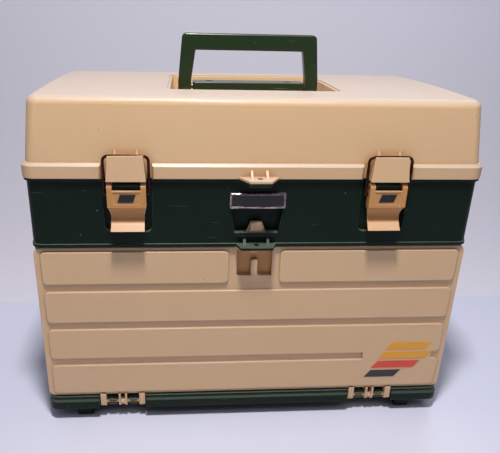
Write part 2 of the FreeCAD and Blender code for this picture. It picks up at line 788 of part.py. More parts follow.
def upper_tub():
    """The upper moulding: band, floor, latch pockets, lugs, lock recess, tabs and hinge knuckles."""
    depth = (front_y, back_y)
    outer = rounded_block(half_width, depth, corner_radius, (rim_z, rim_top_z))
    bead = rounded_block(half_width + rim_bead_proud, (front_y - rim_bead_proud, back_y + rim_bead_proud),
                         corner_radius + rim_bead_proud, (rim_z, rim_z + rim_bead_height))
    bead = bead.makeFillet(rim_bead_fillet, edges_at(bead, "Z", rim_z, slide_gap)
                           + edges_at(bead, "Z", rim_z + rim_bead_height, slide_gap))
    inner_ys = (front_y + moulded_wall, back_y - moulded_wall)
    outer = outer.fuse([bead, tub_flange()])
    inside = rounded_block(half_width - moulded_wall, inner_ys, corner_radius - moulded_wall,
                           (tub_floor_z, rim_top_z + cut_overrun))
    under = rounded_block(half_width - moulded_wall, inner_ys, corner_radius - moulded_wall,
                          (rim_z - cut_overrun, case_top_z))
    shapes = [without(outer, [inside, under])]
    pocket_bottom = skirt_z - pocket_drop
    pockets = []
    for centre in (-latch_offset, latch_offset):
        reach = pocket_half_width + moulded_wall
        shapes.append(block((centre - reach, centre + reach),
                            (front_y + moulded_wall / 2, front_y + pocket_depth + moulded_wall),
                            (pocket_bottom - moulded_wall, rim_top_z)))
        pockets.append(pocket_outline(centre, pocket_half_width, pocket_bottom, rim_top_z + cut_overrun,
                                      (front_y - cut_overrun, front_y + pocket_depth)))
        reach = ridge_gap_half + slide_gap
        pockets.append(block((centre - reach, centre + reach),
                             (front_y - cut_overrun, front_y + lid_inset + moulded_wall + slide_gap),
                             (skirt_z - seat_gap, rim_top_z + cut_overrun)))
    back = front_y + recess_depth + moulded_wall
    shapes.append(recess_outline(moulded_wall, (front_y + moulded_wall / 2, back)))
    shapes.append(block((-recess_bottom_width / 2, recess_bottom_width / 2),
                        (front_y + moulded_wall / 2, back), (case_top_z, recess_floor_z)))
    shapes.append(block((-nameplate_width / 2, nameplate_width / 2),
                        (front_y - nameplate_boss_proud, front_y + moulded_wall / 2),
                        (rim_z + nameplate_rise, rim_z + nameplate_rise + nameplate_height)))
    shapes.append(lock_tab(front_y, lock_tab_root_width, lock_tab_tip_width, lock_tab_reach,
                           rim_z + rim_bead_height - tab_thickness, lower_gusset_offset))
    upper_tab_z = skirt_z - upper_tab_gap - tab_thickness
    tab_root = lid_tab_root_width / 2
    tab_tip = lid_tab_tip_width / 2
    tab_outline = [
        (-tab_root, front_y + moulded_wall / 2), (-tab_root, front_y - skirt_proud),
        (-tab_tip, front_y - front_reach), (tab_tip, front_y - front_reach),
        (tab_root, front_y - skirt_proud), (tab_root, front_y + moulded_wall / 2),
    ]
    shapes.append(slab_z(tab_outline, (upper_tab_z, upper_tab_z + tab_thickness)))
    recess = recess_outline(0, (front_y - cut_overrun, front_y + recess_depth))
    tub = without(joined(shapes), pockets + [recess])
    slot_ys = (front_y + bolt_setback - slide_gap, front_y + bolt_setback + bolt_thickness + slide_gap)
    tub = without(tub, [
        block((-bolt_width / 2 - slide_gap, bolt_width / 2 + slide_gap), slot_ys,
              (rim_z - cut_overrun, recess_floor_z + cut_overrun)),
        lock_hole(front_y, lock_tab_reach, (rim_z - cut_overrun, rim_z + 2 * rim_bead_height)),
        lock_hole(front_y - skirt_proud, lid_tab_reach,
                  (upper_tab_z - cut_overrun, upper_tab_z + tab_thickness + cut_overrun)),
    ])
    shelf = block((-shelf_width / 2, shelf_width / 2), (front_y - shelf_proud, front_y + slide_gap),
                  (recess_floor_z - moulded_wall, recess_floor_z))
    lip = block((-shelf_width / 2, shelf_width / 2),
                (front_y - shelf_proud, front_y - shelf_proud + moulded_wall / 2),
                (recess_floor_z - moulded_wall, recess_floor_z + shelf_lip_height - moulded_wall / 2))
    extras = [shelf, lip, latch_lug(-latch_offset), latch_lug(latch_offset)]
    extras += tub_knuckles(-lid_hinge_offset) + tub_knuckles(lid_hinge_offset)
    holes = []
    for x, y in tub_screw_places():
        holes.append(rod(screw_shank_radius + pin_clearance, (x, y, case_top_z - cut_overrun),
                         (x, y, tub_floor_z + cut_overrun)))
    return without(joined([tub] + extras), holes)


def cross_screw(x, y, end_z, head_z):
    """An upright screw from its end to its flat head, with a cross in the head."""
    shank = rod(screw_shank_radius, (x, y, end_z), (x, y, head_z))
    head = rod(screw_head_radius, (x, y, head_z), (x, y, head_z + screw_head_height))
    reach = screw_head_radius / 2
    half = screw_slot_width / 2
    zs = (head_z + screw_head_height - screw_slot_depth, head_z + screw_head_height + cut_overrun)
    slots = [block((x - reach, x + reach), (y - half, y + half), zs),
             block((x - half, x + half), (y - reach, y + reach), zs)]
    return without(shank.fuse(head), slots)


def tub_screws():
    """The screws through the tub's floor into the case's bosses."""
    screws = [cross_screw(x, y, tub_floor_z - screw_length, tub_floor_z) for x, y in tub_screw_places()]
    return Part.makeCompound(screws)


def nameplate_frame():
    """The raised border of the blank nameplate."""
    ys = (front_y - nameplate_boss_proud - nameplate_thickness, front_y - nameplate_boss_proud)
    zs = (rim_z + nameplate_rise, rim_z + nameplate_rise + nameplate_height)
    half = nameplate_width / 2
    plate = rounded_panel((-half, half), ys, zs, nameplate_border)
    window = block((-half + nameplate_border, half - nameplate_border),
                   (ys[0] - cut_overrun, ys[1] + cut_overrun),
                   (zs[0] + nameplate_border, zs[1] - nameplate_border))
    return plate.cut(window)


def nameplate_insert():
    """The blank dark strip inside the nameplate's border."""
    half = nameplate_width / 2 - nameplate_border - seat_gap
    zs = (rim_z + nameplate_rise + nameplate_border + seat_gap,
          rim_z + nameplate_rise + nameplate_height - nameplate_border - seat_gap)
    back = front_y - nameplate_boss_proud
    return block((-half, half), (back - nameplate_insert_thickness, back), zs)


def door_latch():
    """The sliding latch: a knob above the shelf and a bolt that drops into the door."""
    floor_z = recess_floor_z + seat_gap
    ys = (front_y - knob_proud + moulded_wall / 2 + seat_gap, front_y + knob_thickness - knob_proud)
    top_z = floor_z + knob_height
    knob = [(-knob_width / 2, floor_z), (knob_width / 2, floor_z),
            (knob_top_width / 2, top_z), (-knob_top_width / 2, top_z)]
    wing_z = floor_z + knob_wing_height
    wings = slab_y([(-knob_wing_width / 2, floor_z), (knob_wing_width / 2, floor_z),
                    (knob_wing_top_width / 2, wing_z), (-knob_wing_top_width / 2, wing_z)],
                   (ys[1] - knob_wing_thickness, ys[1]))
    bolt = block((-bolt_width / 2, bolt_width / 2),
                 (front_y + bolt_setback, front_y + bolt_setback + bolt_thickness),
                 (door_top_z - bolt_end_drop, floor_z + knob_height / 2))
    body = slab_y(knob, ys)
    front_edges = edges_at(body, "Y", ys[0], slide_gap)
    return joined([body.makeFillet(knob_edge_fillet, front_edges), wings, bolt])


def keeper_profile(centre):
    """One keeper on the lid: a wedge with a lip that the bail's wire hooks behind."""
    wall_y = front_y + lid_inset + moulded_wall / 2
    bottom_z = skirt_z - keeper_bottom_drop
    lip_z = keeper_top_z + keeper_lip_height
    outline = [
        (wall_y, bottom_z), (front_y - keeper_bottom_reach, bottom_z),
        (front_y - keeper_top_reach, lip_z),
        (front_y - keeper_top_reach + keeper_lip_top, lip_z),
        (front_y - keeper_top_reach + keeper_lip_top + keeper_lip_slope, keeper_top_z),
        (wall_y + lid_draft * keeper_height / lid_rise, keeper_top_z),
    ]
    wedge = slab_x(outline, (centre - keeper_bottom_half, centre + keeper_bottom_half))
    face = [
        (centre - keeper_bottom_half, bottom_z), (centre + keeper_bottom_half, bottom_z),
        (centre + keeper_top_half, lip_z), (centre - keeper_top_half, lip_z),
    ]
    return wedge.common(slab_y(face, (front_y - keeper_bottom_reach - cut_overrun, wall_y + well_depth)))


def keeper_fins(centre):
    """Two small gussets on the lid's wall above a keeper."""
    shapes = []
    wall_y = front_y + lid_inset + lid_draft * (keeper_top_z - skirt_top_z) / lid_rise
    for side in (-1, 1):
        x = centre + side * fin_offset
        rib = [(wall_y + moulded_wall / 2, keeper_top_z - moulded_wall / 2),
               (wall_y - fin_reach, keeper_top_z - moulded_wall / 2), (wall_y - fin_reach, keeper_top_z),
               (wall_y - fin_top_thickness / 2, keeper_top_z + fin_height),
               (wall_y + moulded_wall / 2, keeper_top_z + fin_height)]
        face = [(x - fin_thickness / 2, keeper_top_z - moulded_wall / 2),
                (x + fin_thickness / 2, keeper_top_z - moulded_wall / 2),
                (x + fin_top_thickness / 2, keeper_top_z + fin_height),
                (x - fin_top_thickness / 2, keeper_top_z + fin_height)]
        fin = slab_x(rib, (x - fin_thickness / 2, x + fin_thickness / 2))
        shapes.append(fin.common(slab_y(face, (wall_y - 2 * fin_reach, wall_y + moulded_wall))))
    return shapes


def lid_knuckle(centre):
    """The lid's hinge knuckle, hung from the skirt's back face."""
    xs = (centre - lid_knuckle_width / 2, centre + lid_knuckle_width / 2)
    skirt_y = back_y + skirt_proud
    web = [(skirt_y - skirt_wall / 2, skirt_z + slide_gap), (lid_hinge_y, lid_hinge_z),
           (lid_hinge_y, lid_hinge_z + lid_hinge_radius),
           (skirt_y - skirt_wall / 2, skirt_z + skirt_height - skirt_wall)]
    body = rod(lid_hinge_radius, (xs[0], lid_hinge_y, lid_hinge_z), (xs[1], lid_hinge_y, lid_hinge_z))
    return body.fuse(slab_x(web, xs))


def ridge_gap(centre):
    """What is cut out of the skirt's ridge at one latch, where the ridge's ends are rounded."""
    face_y = front_y - skirt_proud
    zs = (skirt_z - cut_overrun, skirt_top_z + cut_overrun)
    cuts = [block((centre - ridge_gap_half, centre + ridge_gap_half),
                  (face_y - cut_overrun, front_y + lid_inset), zs)]
    for side in (-1, 1):
        edge = centre + side * ridge_gap_half
        middle = edge + side * ridge_end_radius
        corner = block(sorted((edge, middle)), (face_y - cut_overrun, face_y + ridge_end_radius), zs)
        turn = rod(ridge_end_radius, (middle, face_y + ridge_end_radius, zs[0]),
                   (middle, face_y + ridge_end_radius, zs[1]))
        cuts.append(corner.cut(turn))
    return cuts


def above_crown(drop):
    """All that lies above the lid's crowned top, or above the same curve some way below it."""
    reach = half_width + skirt_proud + cut_overrun
    ends = (front_y - cut_overrun, back_y + cut_overrun)
    low = lid_top_z - drop
    high = lid_peak_z + lid_crown_rise + cut_overrun
    curve = Part.Arc(Vector(-reach, ends[0], low), Vector(-reach, middle_y, low + lid_crown_rise),
                     Vector(-reach, ends[1], low)).toShape()
    sides = Part.makePolygon([Vector(-reach, ends[1], low), Vector(-reach, ends[1], high),
                              Vector(-reach, ends[0], high), Vector(-reach, ends[0], low)])
    return Part.Face(Part.Wire([curve] + sides.Edges)).extrude(Vector(2 * reach, 0, 0))


def crowned_block(inset, fillet):
    """The lid's domed block, or the same block inset on all sides to make its hollow."""
    half = half_width - lid_inset - inset
    ys = (front_y + lid_inset + inset, back_y - lid_inset - inset)
    zs = (skirt_top_z - inset, lid_peak_z + cut_overrun - inset)
    dome = drafted_block(half, ys, corner_radius - inset, zs, lid_draft).cut(above_crown(inset))
    top = max(dome.Faces, key=lambda face: face.CenterOfMass.z)
    return dome.makeFillet(fillet, top.Edges)


def lid_shell():
    """The lid: drafted walls, proud skirt, handle well, keepers, padlock tab and hinge knuckles."""
    half = half_width - lid_inset
    ys = (front_y + lid_inset, back_y - lid_inset)
    crown = crowned_block(0, lid_top_fillet)
    skirt_ys = (front_y - skirt_proud, back_y + skirt_proud)
    skirt = rounded_block(half_width + skirt_proud, skirt_ys, corner_radius + skirt_proud,
                          (skirt_z, skirt_top_z))
    skirt = skirt.makeChamfer(skirt_slope, edges_at(skirt, "Z", skirt_top_z, slide_gap))
    skirt = skirt.makeFillet(skirt_lip_fillet, edges_at(skirt, "Z", skirt_z, slide_gap))
    core = rounded_block(half, ys, corner_radius, (skirt_z, skirt_top_z))
    ridge_cuts = ridge_gap(-latch_offset) + ridge_gap(latch_offset)
    outer = joined([crown, without(skirt, ridge_cuts), core])
    well_ys = (middle_y - well_half_depth, middle_y + well_half_depth)
    crown_inside = crowned_block(moulded_wall, lid_top_fillet - moulded_wall)
    skirt_inside = rounded_block(half_width + skirt_clearance,
                                 (front_y - skirt_clearance, back_y + skirt_clearance),
                                 corner_radius + skirt_clearance,
                                 (skirt_z - cut_overrun, skirt_top_z - moulded_wall))
    keep = []
    for centre in (-latch_offset, latch_offset):
        keep.append(block((centre - ridge_gap_half, centre + ridge_gap_half),
                          (front_y + lid_inset, front_y + lid_inset + moulded_wall),
                          (skirt_z, skirt_top_z)))
    shell = joined([without(outer, [crown_inside, skirt_inside])] + keep)
    floor_half = well_half_width - well_draft
    floor_ys = (well_ys[0] + well_draft, well_ys[1] - well_draft)
    well_wall = drafted_block(floor_half + moulded_wall,
                              (floor_ys[0] - moulded_wall, floor_ys[1] + moulded_wall),
                              well_corner_radius + moulded_wall,
                              (well_floor_z - moulded_wall, lid_peak_z - moulded_wall / 2), -well_draft)
    well = drafted_block(floor_half, floor_ys, well_corner_radius,
                         (well_floor_z, lid_peak_z + cut_overrun), -well_draft)
    step = rounded_block(well_half_width + well_step_width,
                         (well_ys[0] - well_step_width, well_ys[1] + well_step_width),
                         well_corner_radius + well_step_width,
                         (lid_top_z - well_step_depth, lid_peak_z + cut_overrun))
    step = step.common(above_crown(well_step_depth))
    groove_half = half - lid_draft - lid_groove_side
    groove = block((-groove_half, groove_half),
                   (front_y + lid_groove_setback, front_y + lid_groove_setback + lid_groove_width),
                   (lid_top_z - lid_groove_depth, lid_peak_z + cut_overrun))
    groove = groove.common(above_crown(lid_groove_depth))
    shell = without(shell.fuse(well_wall), [well, step, groove])
    extras = [lock_tab(front_y - skirt_proud, lid_tab_root_width, lid_tab_tip_width, lid_tab_reach,
                       skirt_z, lid_gusset_offset)]
    for centre in (-latch_offset, latch_offset):
        extras.append(keeper_profile(centre))
        extras += keeper_fins(centre)
    for centre in (-lid_hinge_offset, lid_hinge_offset):
        extras.append(lid_knuckle(centre))
    shell = joined([shell] + extras)
    holes = [lock_hole(front_y - skirt_proud, lid_tab_reach,
                       (skirt_z - cut_overrun, skirt_z + tab_thickness + cut_overrun))]
    for side in (-1, 1):
        x = side * lid_hinge_offset
        reach = lid_knuckle_width / 2 + cut_overrun
        holes.append(rod(lid_hinge_pin_radius + pin_clearance, (x - reach, lid_hinge_y, lid_hinge_z),
                         (x + reach, lid_hinge_y, lid_hinge_z)))
        x = side * bracket_screw_x
        holes.append(rod(screw_shank_radius + pin_clearance,
                         (x, middle_y, well_floor_z - 2 * moulded_wall),
                         (x, middle_y, well_floor_z + cut_overrun)))
    return without(shell, holes)


def lid_hinge_pins():
    """One steel pin through each set of lid knuckles, with a small head at each end."""
    pins = []
    for centre in (-lid_hinge_offset, lid_hinge_offset):
        reach = lid_knuckle_width / 2 + knuckle_gap + tub_knuckle_width
        pin = rod(lid_hinge_pin_radius, (centre - reach, lid_hinge_y, lid_hinge_z),
                  (centre + reach, lid_hinge_y, lid_hinge_z))
        heads = []
        for side in (-1, 1):
            start = centre + side * reach
            heads.append(rod(lid_hinge_pin_radius + lid_hinge_pin_head, (start, lid_hinge_y, lid_hinge_z),
                             (start + side * lid_hinge_pin_head, lid_hinge_y, lid_hinge_z)))
        pins.append(joined([pin] + heads))
    return Part.makeCompound(pins)


def handle():
    """The folding carrying handle: a closed-cornered hoop that turns on two pins."""
    ys = (middle_y - handle_thickness / 2, middle_y + handle_thickness / 2)
    radius = handle_thickness / 2
    top_z = handle_axis_z + handle_length
    low_z = handle_axis_z - radius
    knee_z = handle_axis_z + radius
    outer = [(handle_bottom_half_width, low_z), (handle_bottom_half_width, knee_z),
             (handle_top_half_width, top_z)]
    grip_z = top_z - handle_grip_height
    low_half = handle_bottom_half_width - handle_leg_width
    inner = [(low_half, low_z - cut_overrun), (low_half, knee_z),
             (handle_top_half_width - handle_leg_width, grip_z)]
    hoop = slab_y(outer + [(-x, z) for x, z in reversed(outer)], ys)
    corners = [e for e in hoop.Edges if e.BoundBox.YLength > radius and e.BoundBox.ZMin > knee_z + radius]
    hoop = hoop.makeFillet(handle_outer_radius, corners)
    window = slab_y(inner + [(-x, z) for x, z in reversed(inner)],
                    (ys[0] - cut_overrun, ys[1] + cut_overrun))
    corners = [e for e in window.Edges if e.BoundBox.YLength > radius and e.BoundBox.ZMin > knee_z + radius]
    hoop = hoop.cut(window.makeFillet(handle_inner_radius, corners))
    rims = []
    for edge in hoop.Edges:
        box = edge.BoundBox
        if box.YLength < slide_gap and box.ZMax > handle_axis_z + radius:
            rims.append(edge)
    hoop = hoop.makeFillet(handle_edge_fillet, rims)
    reach = handle_bottom_half_width + cut_overrun
    square = block((-reach, reach), (ys[0] - cut_overrun, ys[1] + cut_overrun),
                   (low_z - cut_overrun, handle_axis_z))
    round_end = rod(radius, (-reach, middle_y, handle_axis_z), (reach, middle_y, handle_axis_z))
    hoop = hoop.cut(square.cut(round_end))
    bore = rod(handle_pin_radius + pin_clearance, (-reach, middle_y, handle_axis_z),
               (reach, middle_y, handle_axis_z))
    return hoop.cut(bore)


def handle_bracket():
    """The bar in the well that the handle turns on, screwed down through its top."""
    half = bracket_half_width
    ys = (middle_y - bracket_depth / 2, middle_y + bracket_depth / 2)
    top_z = lid_top_z + bracket_proud
    body = rounded_block(half, ys, moulded_wall, (well_floor_z, top_z))
    body = body.makeFillet(bracket_edge_fillet, edges_at(body, "Z", top_z, slide_gap))
    hollow = block((-half + bracket_end_wall, half - bracket_end_wall),
                   (ys[0] + moulded_wall, ys[1] - moulded_wall),
                   (well_floor_z - cut_overrun, top_z - 2 * moulded_wall))
    shapes = [body.cut(hollow)]
    holes = []
    for side in (-1, 1):
        x = side * bracket_screw_x
        above = (x, middle_y, top_z + cut_overrun)
        shapes.append(rod(bracket_boss_radius, (x, middle_y, well_floor_z),
                          (x, middle_y, top_z - moulded_wall)))
        holes.append(rod(screw_shank_radius + pin_clearance,
                         (x, middle_y, well_floor_z - cut_overrun), above))
        holes.append(rod(screw_head_radius + slide_gap,
                         (x, middle_y, top_z - screw_head_height - slide_gap), above))
        holes.append(rod(handle_pin_radius + pin_clearance,
                         (side * (half - handle_pin_end), middle_y, handle_axis_z),
                         (side * (half + cut_overrun), middle_y, handle_axis_z)))
    return without(joined(shapes), holes)


def handle_screws():
    """The two screws whose heads show in the top of the bracket."""
    head_z = lid_top_z + bracket_proud - screw_head_height - slide_gap
    return Part.makeCompound([cross_screw(side * bracket_screw_x, middle_y,
                                          well_floor_z - 2 * moulded_wall, head_z) for side in (-1, 1)])


def handle_pins():
    """A steel pin through each leg of the handle into the bracket's end."""
    pins = []
    for side in (-1, 1):
        start = side * (bracket_half_width - handle_pin_end)
        end = side * handle_bottom_half_width
        pins.append(rod(handle_pin_radius, (start, middle_y, handle_axis_z),
                        (end, middle_y, handle_axis_z)))
    return Part.makeCompound(pins)


def lever_outline():
    """The lever's shell from the side: front plate, step, finger scoop and flared tip."""
    front = front_y - lever_front_reach
    top = lever_pivot_z - lever_plate_top_drop
    step = lever_pivot_z - lever_step_drop
    scoop_y = front + scoop_depth
    shoulder = front + lever_step_depth
    outer = [(front, top), (front, step), (shoulder, step - lever_step_height)]
    bend = Part.Arc(Vector(0, shoulder, step - lever_step_height),
                    Vector(0, scoop_y, lever_pivot_z - scoop_middle_drop),
                    Vector(0, shoulder, lever_pivot_z - scoop_end_drop)).toShape()
    tip = (front_y - lever_tip_reach, lever_pivot_z - lever_tip_drop)
    inner_tip = (tip[0] + lever_shell, tip[1] - lever_shell / 4)
    bend_end = Vector(0, shoulder + lever_shell, lever_pivot_z - scoop_end_drop)
    back_bend = Part.Arc(bend_end,
                         Vector(0, scoop_y + lever_shell, lever_pivot_z - scoop_middle_drop),
                         Vector(0, shoulder + lever_shell, step)).toShape()
    points = [Vector(0, y, z) for y, z in outer]
    edges = [Part.makeLine(points[0], points[1]), Part.makeLine(points[1], points[2]), bend]
    corner = Vector(0, shoulder, lever_pivot_z - scoop_end_drop)
    edges.append(Part.makeLine(corner, Vector(0, *tip)))
    edges.append(Part.makeLine(Vector(0, *tip), Vector(0, *inner_tip)))
    edges.append(Part.makeLine(Vector(0, *inner_tip), bend_end))
    edges.append(back_bend)
    rise = Vector(0, front + lever_shell, step + lever_shell)
    edges.append(Part.makeLine(Vector(0, shoulder + lever_shell, step), rise))
    edges.append(Part.makeLine(rise, Vector(0, front + lever_shell, top)))
    edges.append(Part.makeLine(Vector(0, front + lever_shell, top), points[0]))
    return Part.Face(Part.Wire(edges))


def latch_lever(centre):
    """One latch lever, with an ear each side of the lug and holes for the pin and the bail."""
    xs = (centre - lever_half_width, centre + lever_half_width)
    face = lever_outline()
    face.translate(Vector(xs[0], 0, 0))
    plate = face.extrude(Vector(2 * lever_half_width, 0, 0))
    front = front_y - lever_front_reach
    top = lever_pivot_z - lever_plate_top_drop
    step = lever_pivot_z - lever_step_drop
    ear_back = front_y - ear_back_reach
    shapes = [plate]
    for side in (-1, 1):
        near = centre + side * (lever_half_width - ear_thickness)
        ear_xs = sorted((near, centre + side * lever_half_width))
        rim = [(front, lever_pivot_z), (front, step),
               (front + lever_step_depth, step - lever_step_height),
               (front + scoop_depth, lever_pivot_z - ear_end_drop),
               (ear_back, lever_pivot_z - ear_end_drop + lever_shell), (ear_back, lever_pivot_z)]
        shapes.append(slab_x(rim, ear_xs))
        shapes.append(rod(lever_ear_radius, (ear_xs[0], lever_pivot_y, lever_pivot_z),
                          (ear_xs[1], lever_pivot_y, lever_pivot_z)))
    body = joined(shapes)
    right = [
        (lever_half_width, lever_pivot_z + lever_ear_radius), (lever_half_width, step),
        (lever_tip_half_width, lever_pivot_z - scoop_middle_drop),
        (lever_tip_half_width, lever_pivot_z - scoop_end_drop),
        (lever_tip_half_width + slide_gap, lever_pivot_z - lever_tip_drop - lever_shell),
    ]
    taper = [(centre + x, z) for x, z in right] + [(centre - x, z) for x, z in reversed(right)]
    body = body.common(slab_y(taper, (front_y - 2 * lever_tip_reach, front_y)))
    mid_z = lever_pivot_z - inlay_drop
    reach = inlay_width / 2 + inlay_recess_margin
    holes = [
        block((centre - reach, centre + reach),
              (front - cut_overrun, front + inlay_recess_depth),
              (mid_z - inlay_height / 2 - inlay_recess_margin / 2,
               mid_z + inlay_height / 2 + inlay_recess_margin / 2)),
        rod(latch_pin_radius + pin_clearance, (xs[0] - cut_overrun, lever_pivot_y, lever_pivot_z),
            (xs[1] + cut_overrun, lever_pivot_y, lever_pivot_z)),
        rod(bail_wire_radius + pin_clearance, (xs[0] - cut_overrun, bail_pivot_y, bail_pivot_z),
            (xs[1] + cut_overrun, bail_pivot_y, bail_pivot_z)),
    ]
    return without(body, holes).removeSplitter()


def latch_inlay(centre):
    """A plain slanted bar in the lever's recess."""
    mid_z = lever_pivot_z - inlay_drop
    half = inlay_width / 2
    back = front_y - lever_front_reach + inlay_recess_depth
    outline = [
        (centre - half, mid_z - inlay_height / 2), (centre + half - inlay_lean, mid_z - inlay_height / 2),
        (centre + half, mid_z + inlay_height / 2), (centre - half + inlay_lean, mid_z + inlay_height / 2),
    ]
    return slab_y(outline, (back - inlay_thickness, back))


def latch_pin(centre):
    """The pin through one lever's ears and its lug."""
    return rod(latch_pin_radius, (centre - lever_half_width, lever_pivot_y, lever_pivot_z),
               (centre + lever_half_width, lever_pivot_y, lever_pivot_z))


def bail(centre):
    """One wire bail: in at a lever's side, up beside the keeper and across behind its lip."""
    x = bail_half_width - bail_wire_radius
    low = Vector(0, bail_pivot_y, bail_pivot_z)
    high = Vector(0, bail_bar_y, bail_bar_z)
    corner = bail_bend_radius
    up = (high - low).normalize()
    turn = corner * (1 - math.sqrt(1 / 2))
    small = 2 * bail_wire_radius
    small_turn = small * (1 - math.sqrt(1 / 2))
    side = Vector(x, 0, 0)
    inward = Vector(-1, 0, 0)
    foot_end = low + side + inward * bail_pin_length
    foot_bend = low + side + inward * small
    leg_start = low + side + up * small
    leg_end = high + side - up * corner
    bar_start = high + side + inward * corner
    foot_middle = low + side + inward * small_turn + up * small_turn
    top_middle = high + side + inward * turn - up * turn
    right = [
        Part.makeLine(foot_end, foot_bend), Part.Arc(foot_bend, foot_middle, leg_start).toShape(),
        Part.makeLine(leg_start, leg_end), Part.Arc(leg_end, top_middle, bar_start).toShape(),
    ]
    left = [mirrored(edge) for edge in right]
    bar = Part.makeLine(bar_start, Vector(-bar_start.x, bar_start.y, bar_start.z))
    path = Part.Wire(Part.__sortEdges__(right + [bar] + left))
    start = path.OrderedVertexes[0].Point
    ring = Part.Wire([Part.makeCircle(bail_wire_radius, start, Vector(1, 0, 0))])
    wire = path.makePipeShell([ring], True, True)
    wire.translate(Vector(centre, 0, 0))
    return wire


def build():
    """Every piece by its name."""
    pieces = {
        "drawer_case": drawer_case(), "upper_tub": upper_tub(), "lid_shell": lid_shell(),
        "tub_screws": tub_screws(), "nameplate_frame": nameplate_frame(),
        "nameplate_insert": nameplate_insert(), "lid_hinge_pins": lid_hinge_pins(),
        "handle_bracket": handle_bracket(), "handle_screws": handle_screws(),
        "handle_pins": handle_pins(), "handle": handle(),
        "door_panel": door_panel(), "door_latch": door_latch(),
        "badge_yellow_bars": Part.makeCompound([badge_bar(2), badge_bar(3)]),
        "badge_orange_bar": badge_bar(1), "badge_dark_bar": badge_bar(0),
        "latch_pins": Part.makeCompound([latch_pin(-latch_offset), latch_pin(latch_offset)]),
    }
    for side, centre in (("left", -latch_offset), ("right", latch_offset)):
        pieces["latch_lever_" + side] = latch_lever(centre)
        pieces["latch_inlay_" + side] = latch_inlay(centre)
        pieces["bail_" + side] = bail(centre)
    for index in range(drawer_count):
        pieces["drawer_%d" % (index + 1)] = drawer(index)
        pieces["drawer_%d_dividers" % (index + 1)] = drawer_dividers(index)
    return pieces


os.makedirs("parts", exist_ok=True)
whole = build()
for name, shape in whole.items():
    shape.exportStep("parts/%s.step" % name)
    box = shape.BoundBox
    print("%-20s solids %2d  valid %s  volume %9.0f  x %6.1f..%6.1f  y %6.1f..%6.1f  z %6.1f..%6.1f" % (
        name, len(shape.Solids), shape.isValid(), shape.Volume,
        box.XMin, box.XMax, box.YMin, box.YMax, box.ZMin, box.ZMax))
outer_box = Part.makeCompound(list(whole.values())).BoundBox
print("whole x %.2f..%.2f y %.2f..%.2f z %.2f..%.2f" % (
    outer_box.XMin, outer_box.XMax, outer_box.YMin, outer_box.YMax, outer_box.ZMin, outer_box.ZMax))
print("door hinge %.2f %.2f  lid hinge %.2f %.2f  lever %.2f %.2f  bail %.2f %.2f  handle %.2f %.2f" % (
    door_hinge_y, door_hinge_z, lid_hinge_y, lid_hinge_z, lever_pivot_y, lever_pivot_z,
    bail_pivot_y, bail_pivot_z, middle_y, handle_axis_z))
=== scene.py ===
# %% [markdown]
# # A fishing tackle cabinet, dressed on its own working model
# The cabinet already exists as a working model: every moulding, pin and drawer at its real size, with
# its hinges. This lesson gives that model its looks. Nothing here moves a working piece. A moulding is
# copied, its razor-sharp edges are rounded as a mould rounds them, and each plastic gets its own finish.

import json
import math

import bmesh
import bpy
import numpy
from mathutils import Matrix, Vector
from mathutils.bvhtree import BVHTree


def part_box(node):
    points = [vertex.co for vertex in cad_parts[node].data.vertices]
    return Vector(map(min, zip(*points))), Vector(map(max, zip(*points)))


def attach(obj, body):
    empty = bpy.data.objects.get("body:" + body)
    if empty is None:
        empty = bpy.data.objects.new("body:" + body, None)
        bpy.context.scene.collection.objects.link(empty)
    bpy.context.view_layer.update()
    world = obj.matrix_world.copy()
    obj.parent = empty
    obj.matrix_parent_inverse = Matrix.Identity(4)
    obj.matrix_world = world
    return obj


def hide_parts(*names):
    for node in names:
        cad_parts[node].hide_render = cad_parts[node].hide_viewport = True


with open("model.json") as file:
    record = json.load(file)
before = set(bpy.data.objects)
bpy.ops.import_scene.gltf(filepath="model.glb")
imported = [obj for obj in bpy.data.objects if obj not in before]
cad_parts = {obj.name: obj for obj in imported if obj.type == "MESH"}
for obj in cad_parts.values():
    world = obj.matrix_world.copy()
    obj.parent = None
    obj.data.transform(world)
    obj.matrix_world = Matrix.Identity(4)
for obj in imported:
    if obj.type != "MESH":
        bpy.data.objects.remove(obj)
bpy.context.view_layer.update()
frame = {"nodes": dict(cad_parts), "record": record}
node_body = {node: body for body, nodes in frame["record"]["behaviour"]["bodies"].items() for node in nodes}
node_slot = {part["node"]: part["material_slot"] for part in frame["record"]["subparts"]}

# %% [markdown]
# ## The camera
# A photograph fixes where its camera stood. The corners of the cabinet gave the camera's place, the way
# it looks and its focal length. It stands a little left of the middle and looks down at the lid.

# %% Camera
PHOTO_WIDTH = 500
SENSOR_WIDTH = 36.0
PHOTO_HEIGHT = 453
FOCAL_PIXELS = 536.11
PICTURE_CENTRE = (221.97, 224.76)
CAMERA_PLACE = Vector((-0.08355, -0.70613, 0.49665))
CAMERA_YAW = 0.07647
CAMERA_PITCH = 0.37487
CAMERA_ROLL = 0.02401


def camera_turn(yaw, pitch, roll):
    """The camera's rotation: yaw to the right, pitch down, roll about the line of sight."""
    forward = Vector((math.sin(yaw) * math.cos(pitch), math.cos(yaw) * math.cos(pitch), -math.sin(pitch)))
    level = Vector((math.cos(yaw), -math.sin(yaw), 0))
    up = level.cross(forward)
    right = math.cos(roll) * level + math.sin(roll) * up
    top = -math.sin(roll) * level + math.cos(roll) * up
    return Matrix((right, top, -forward)).transposed()


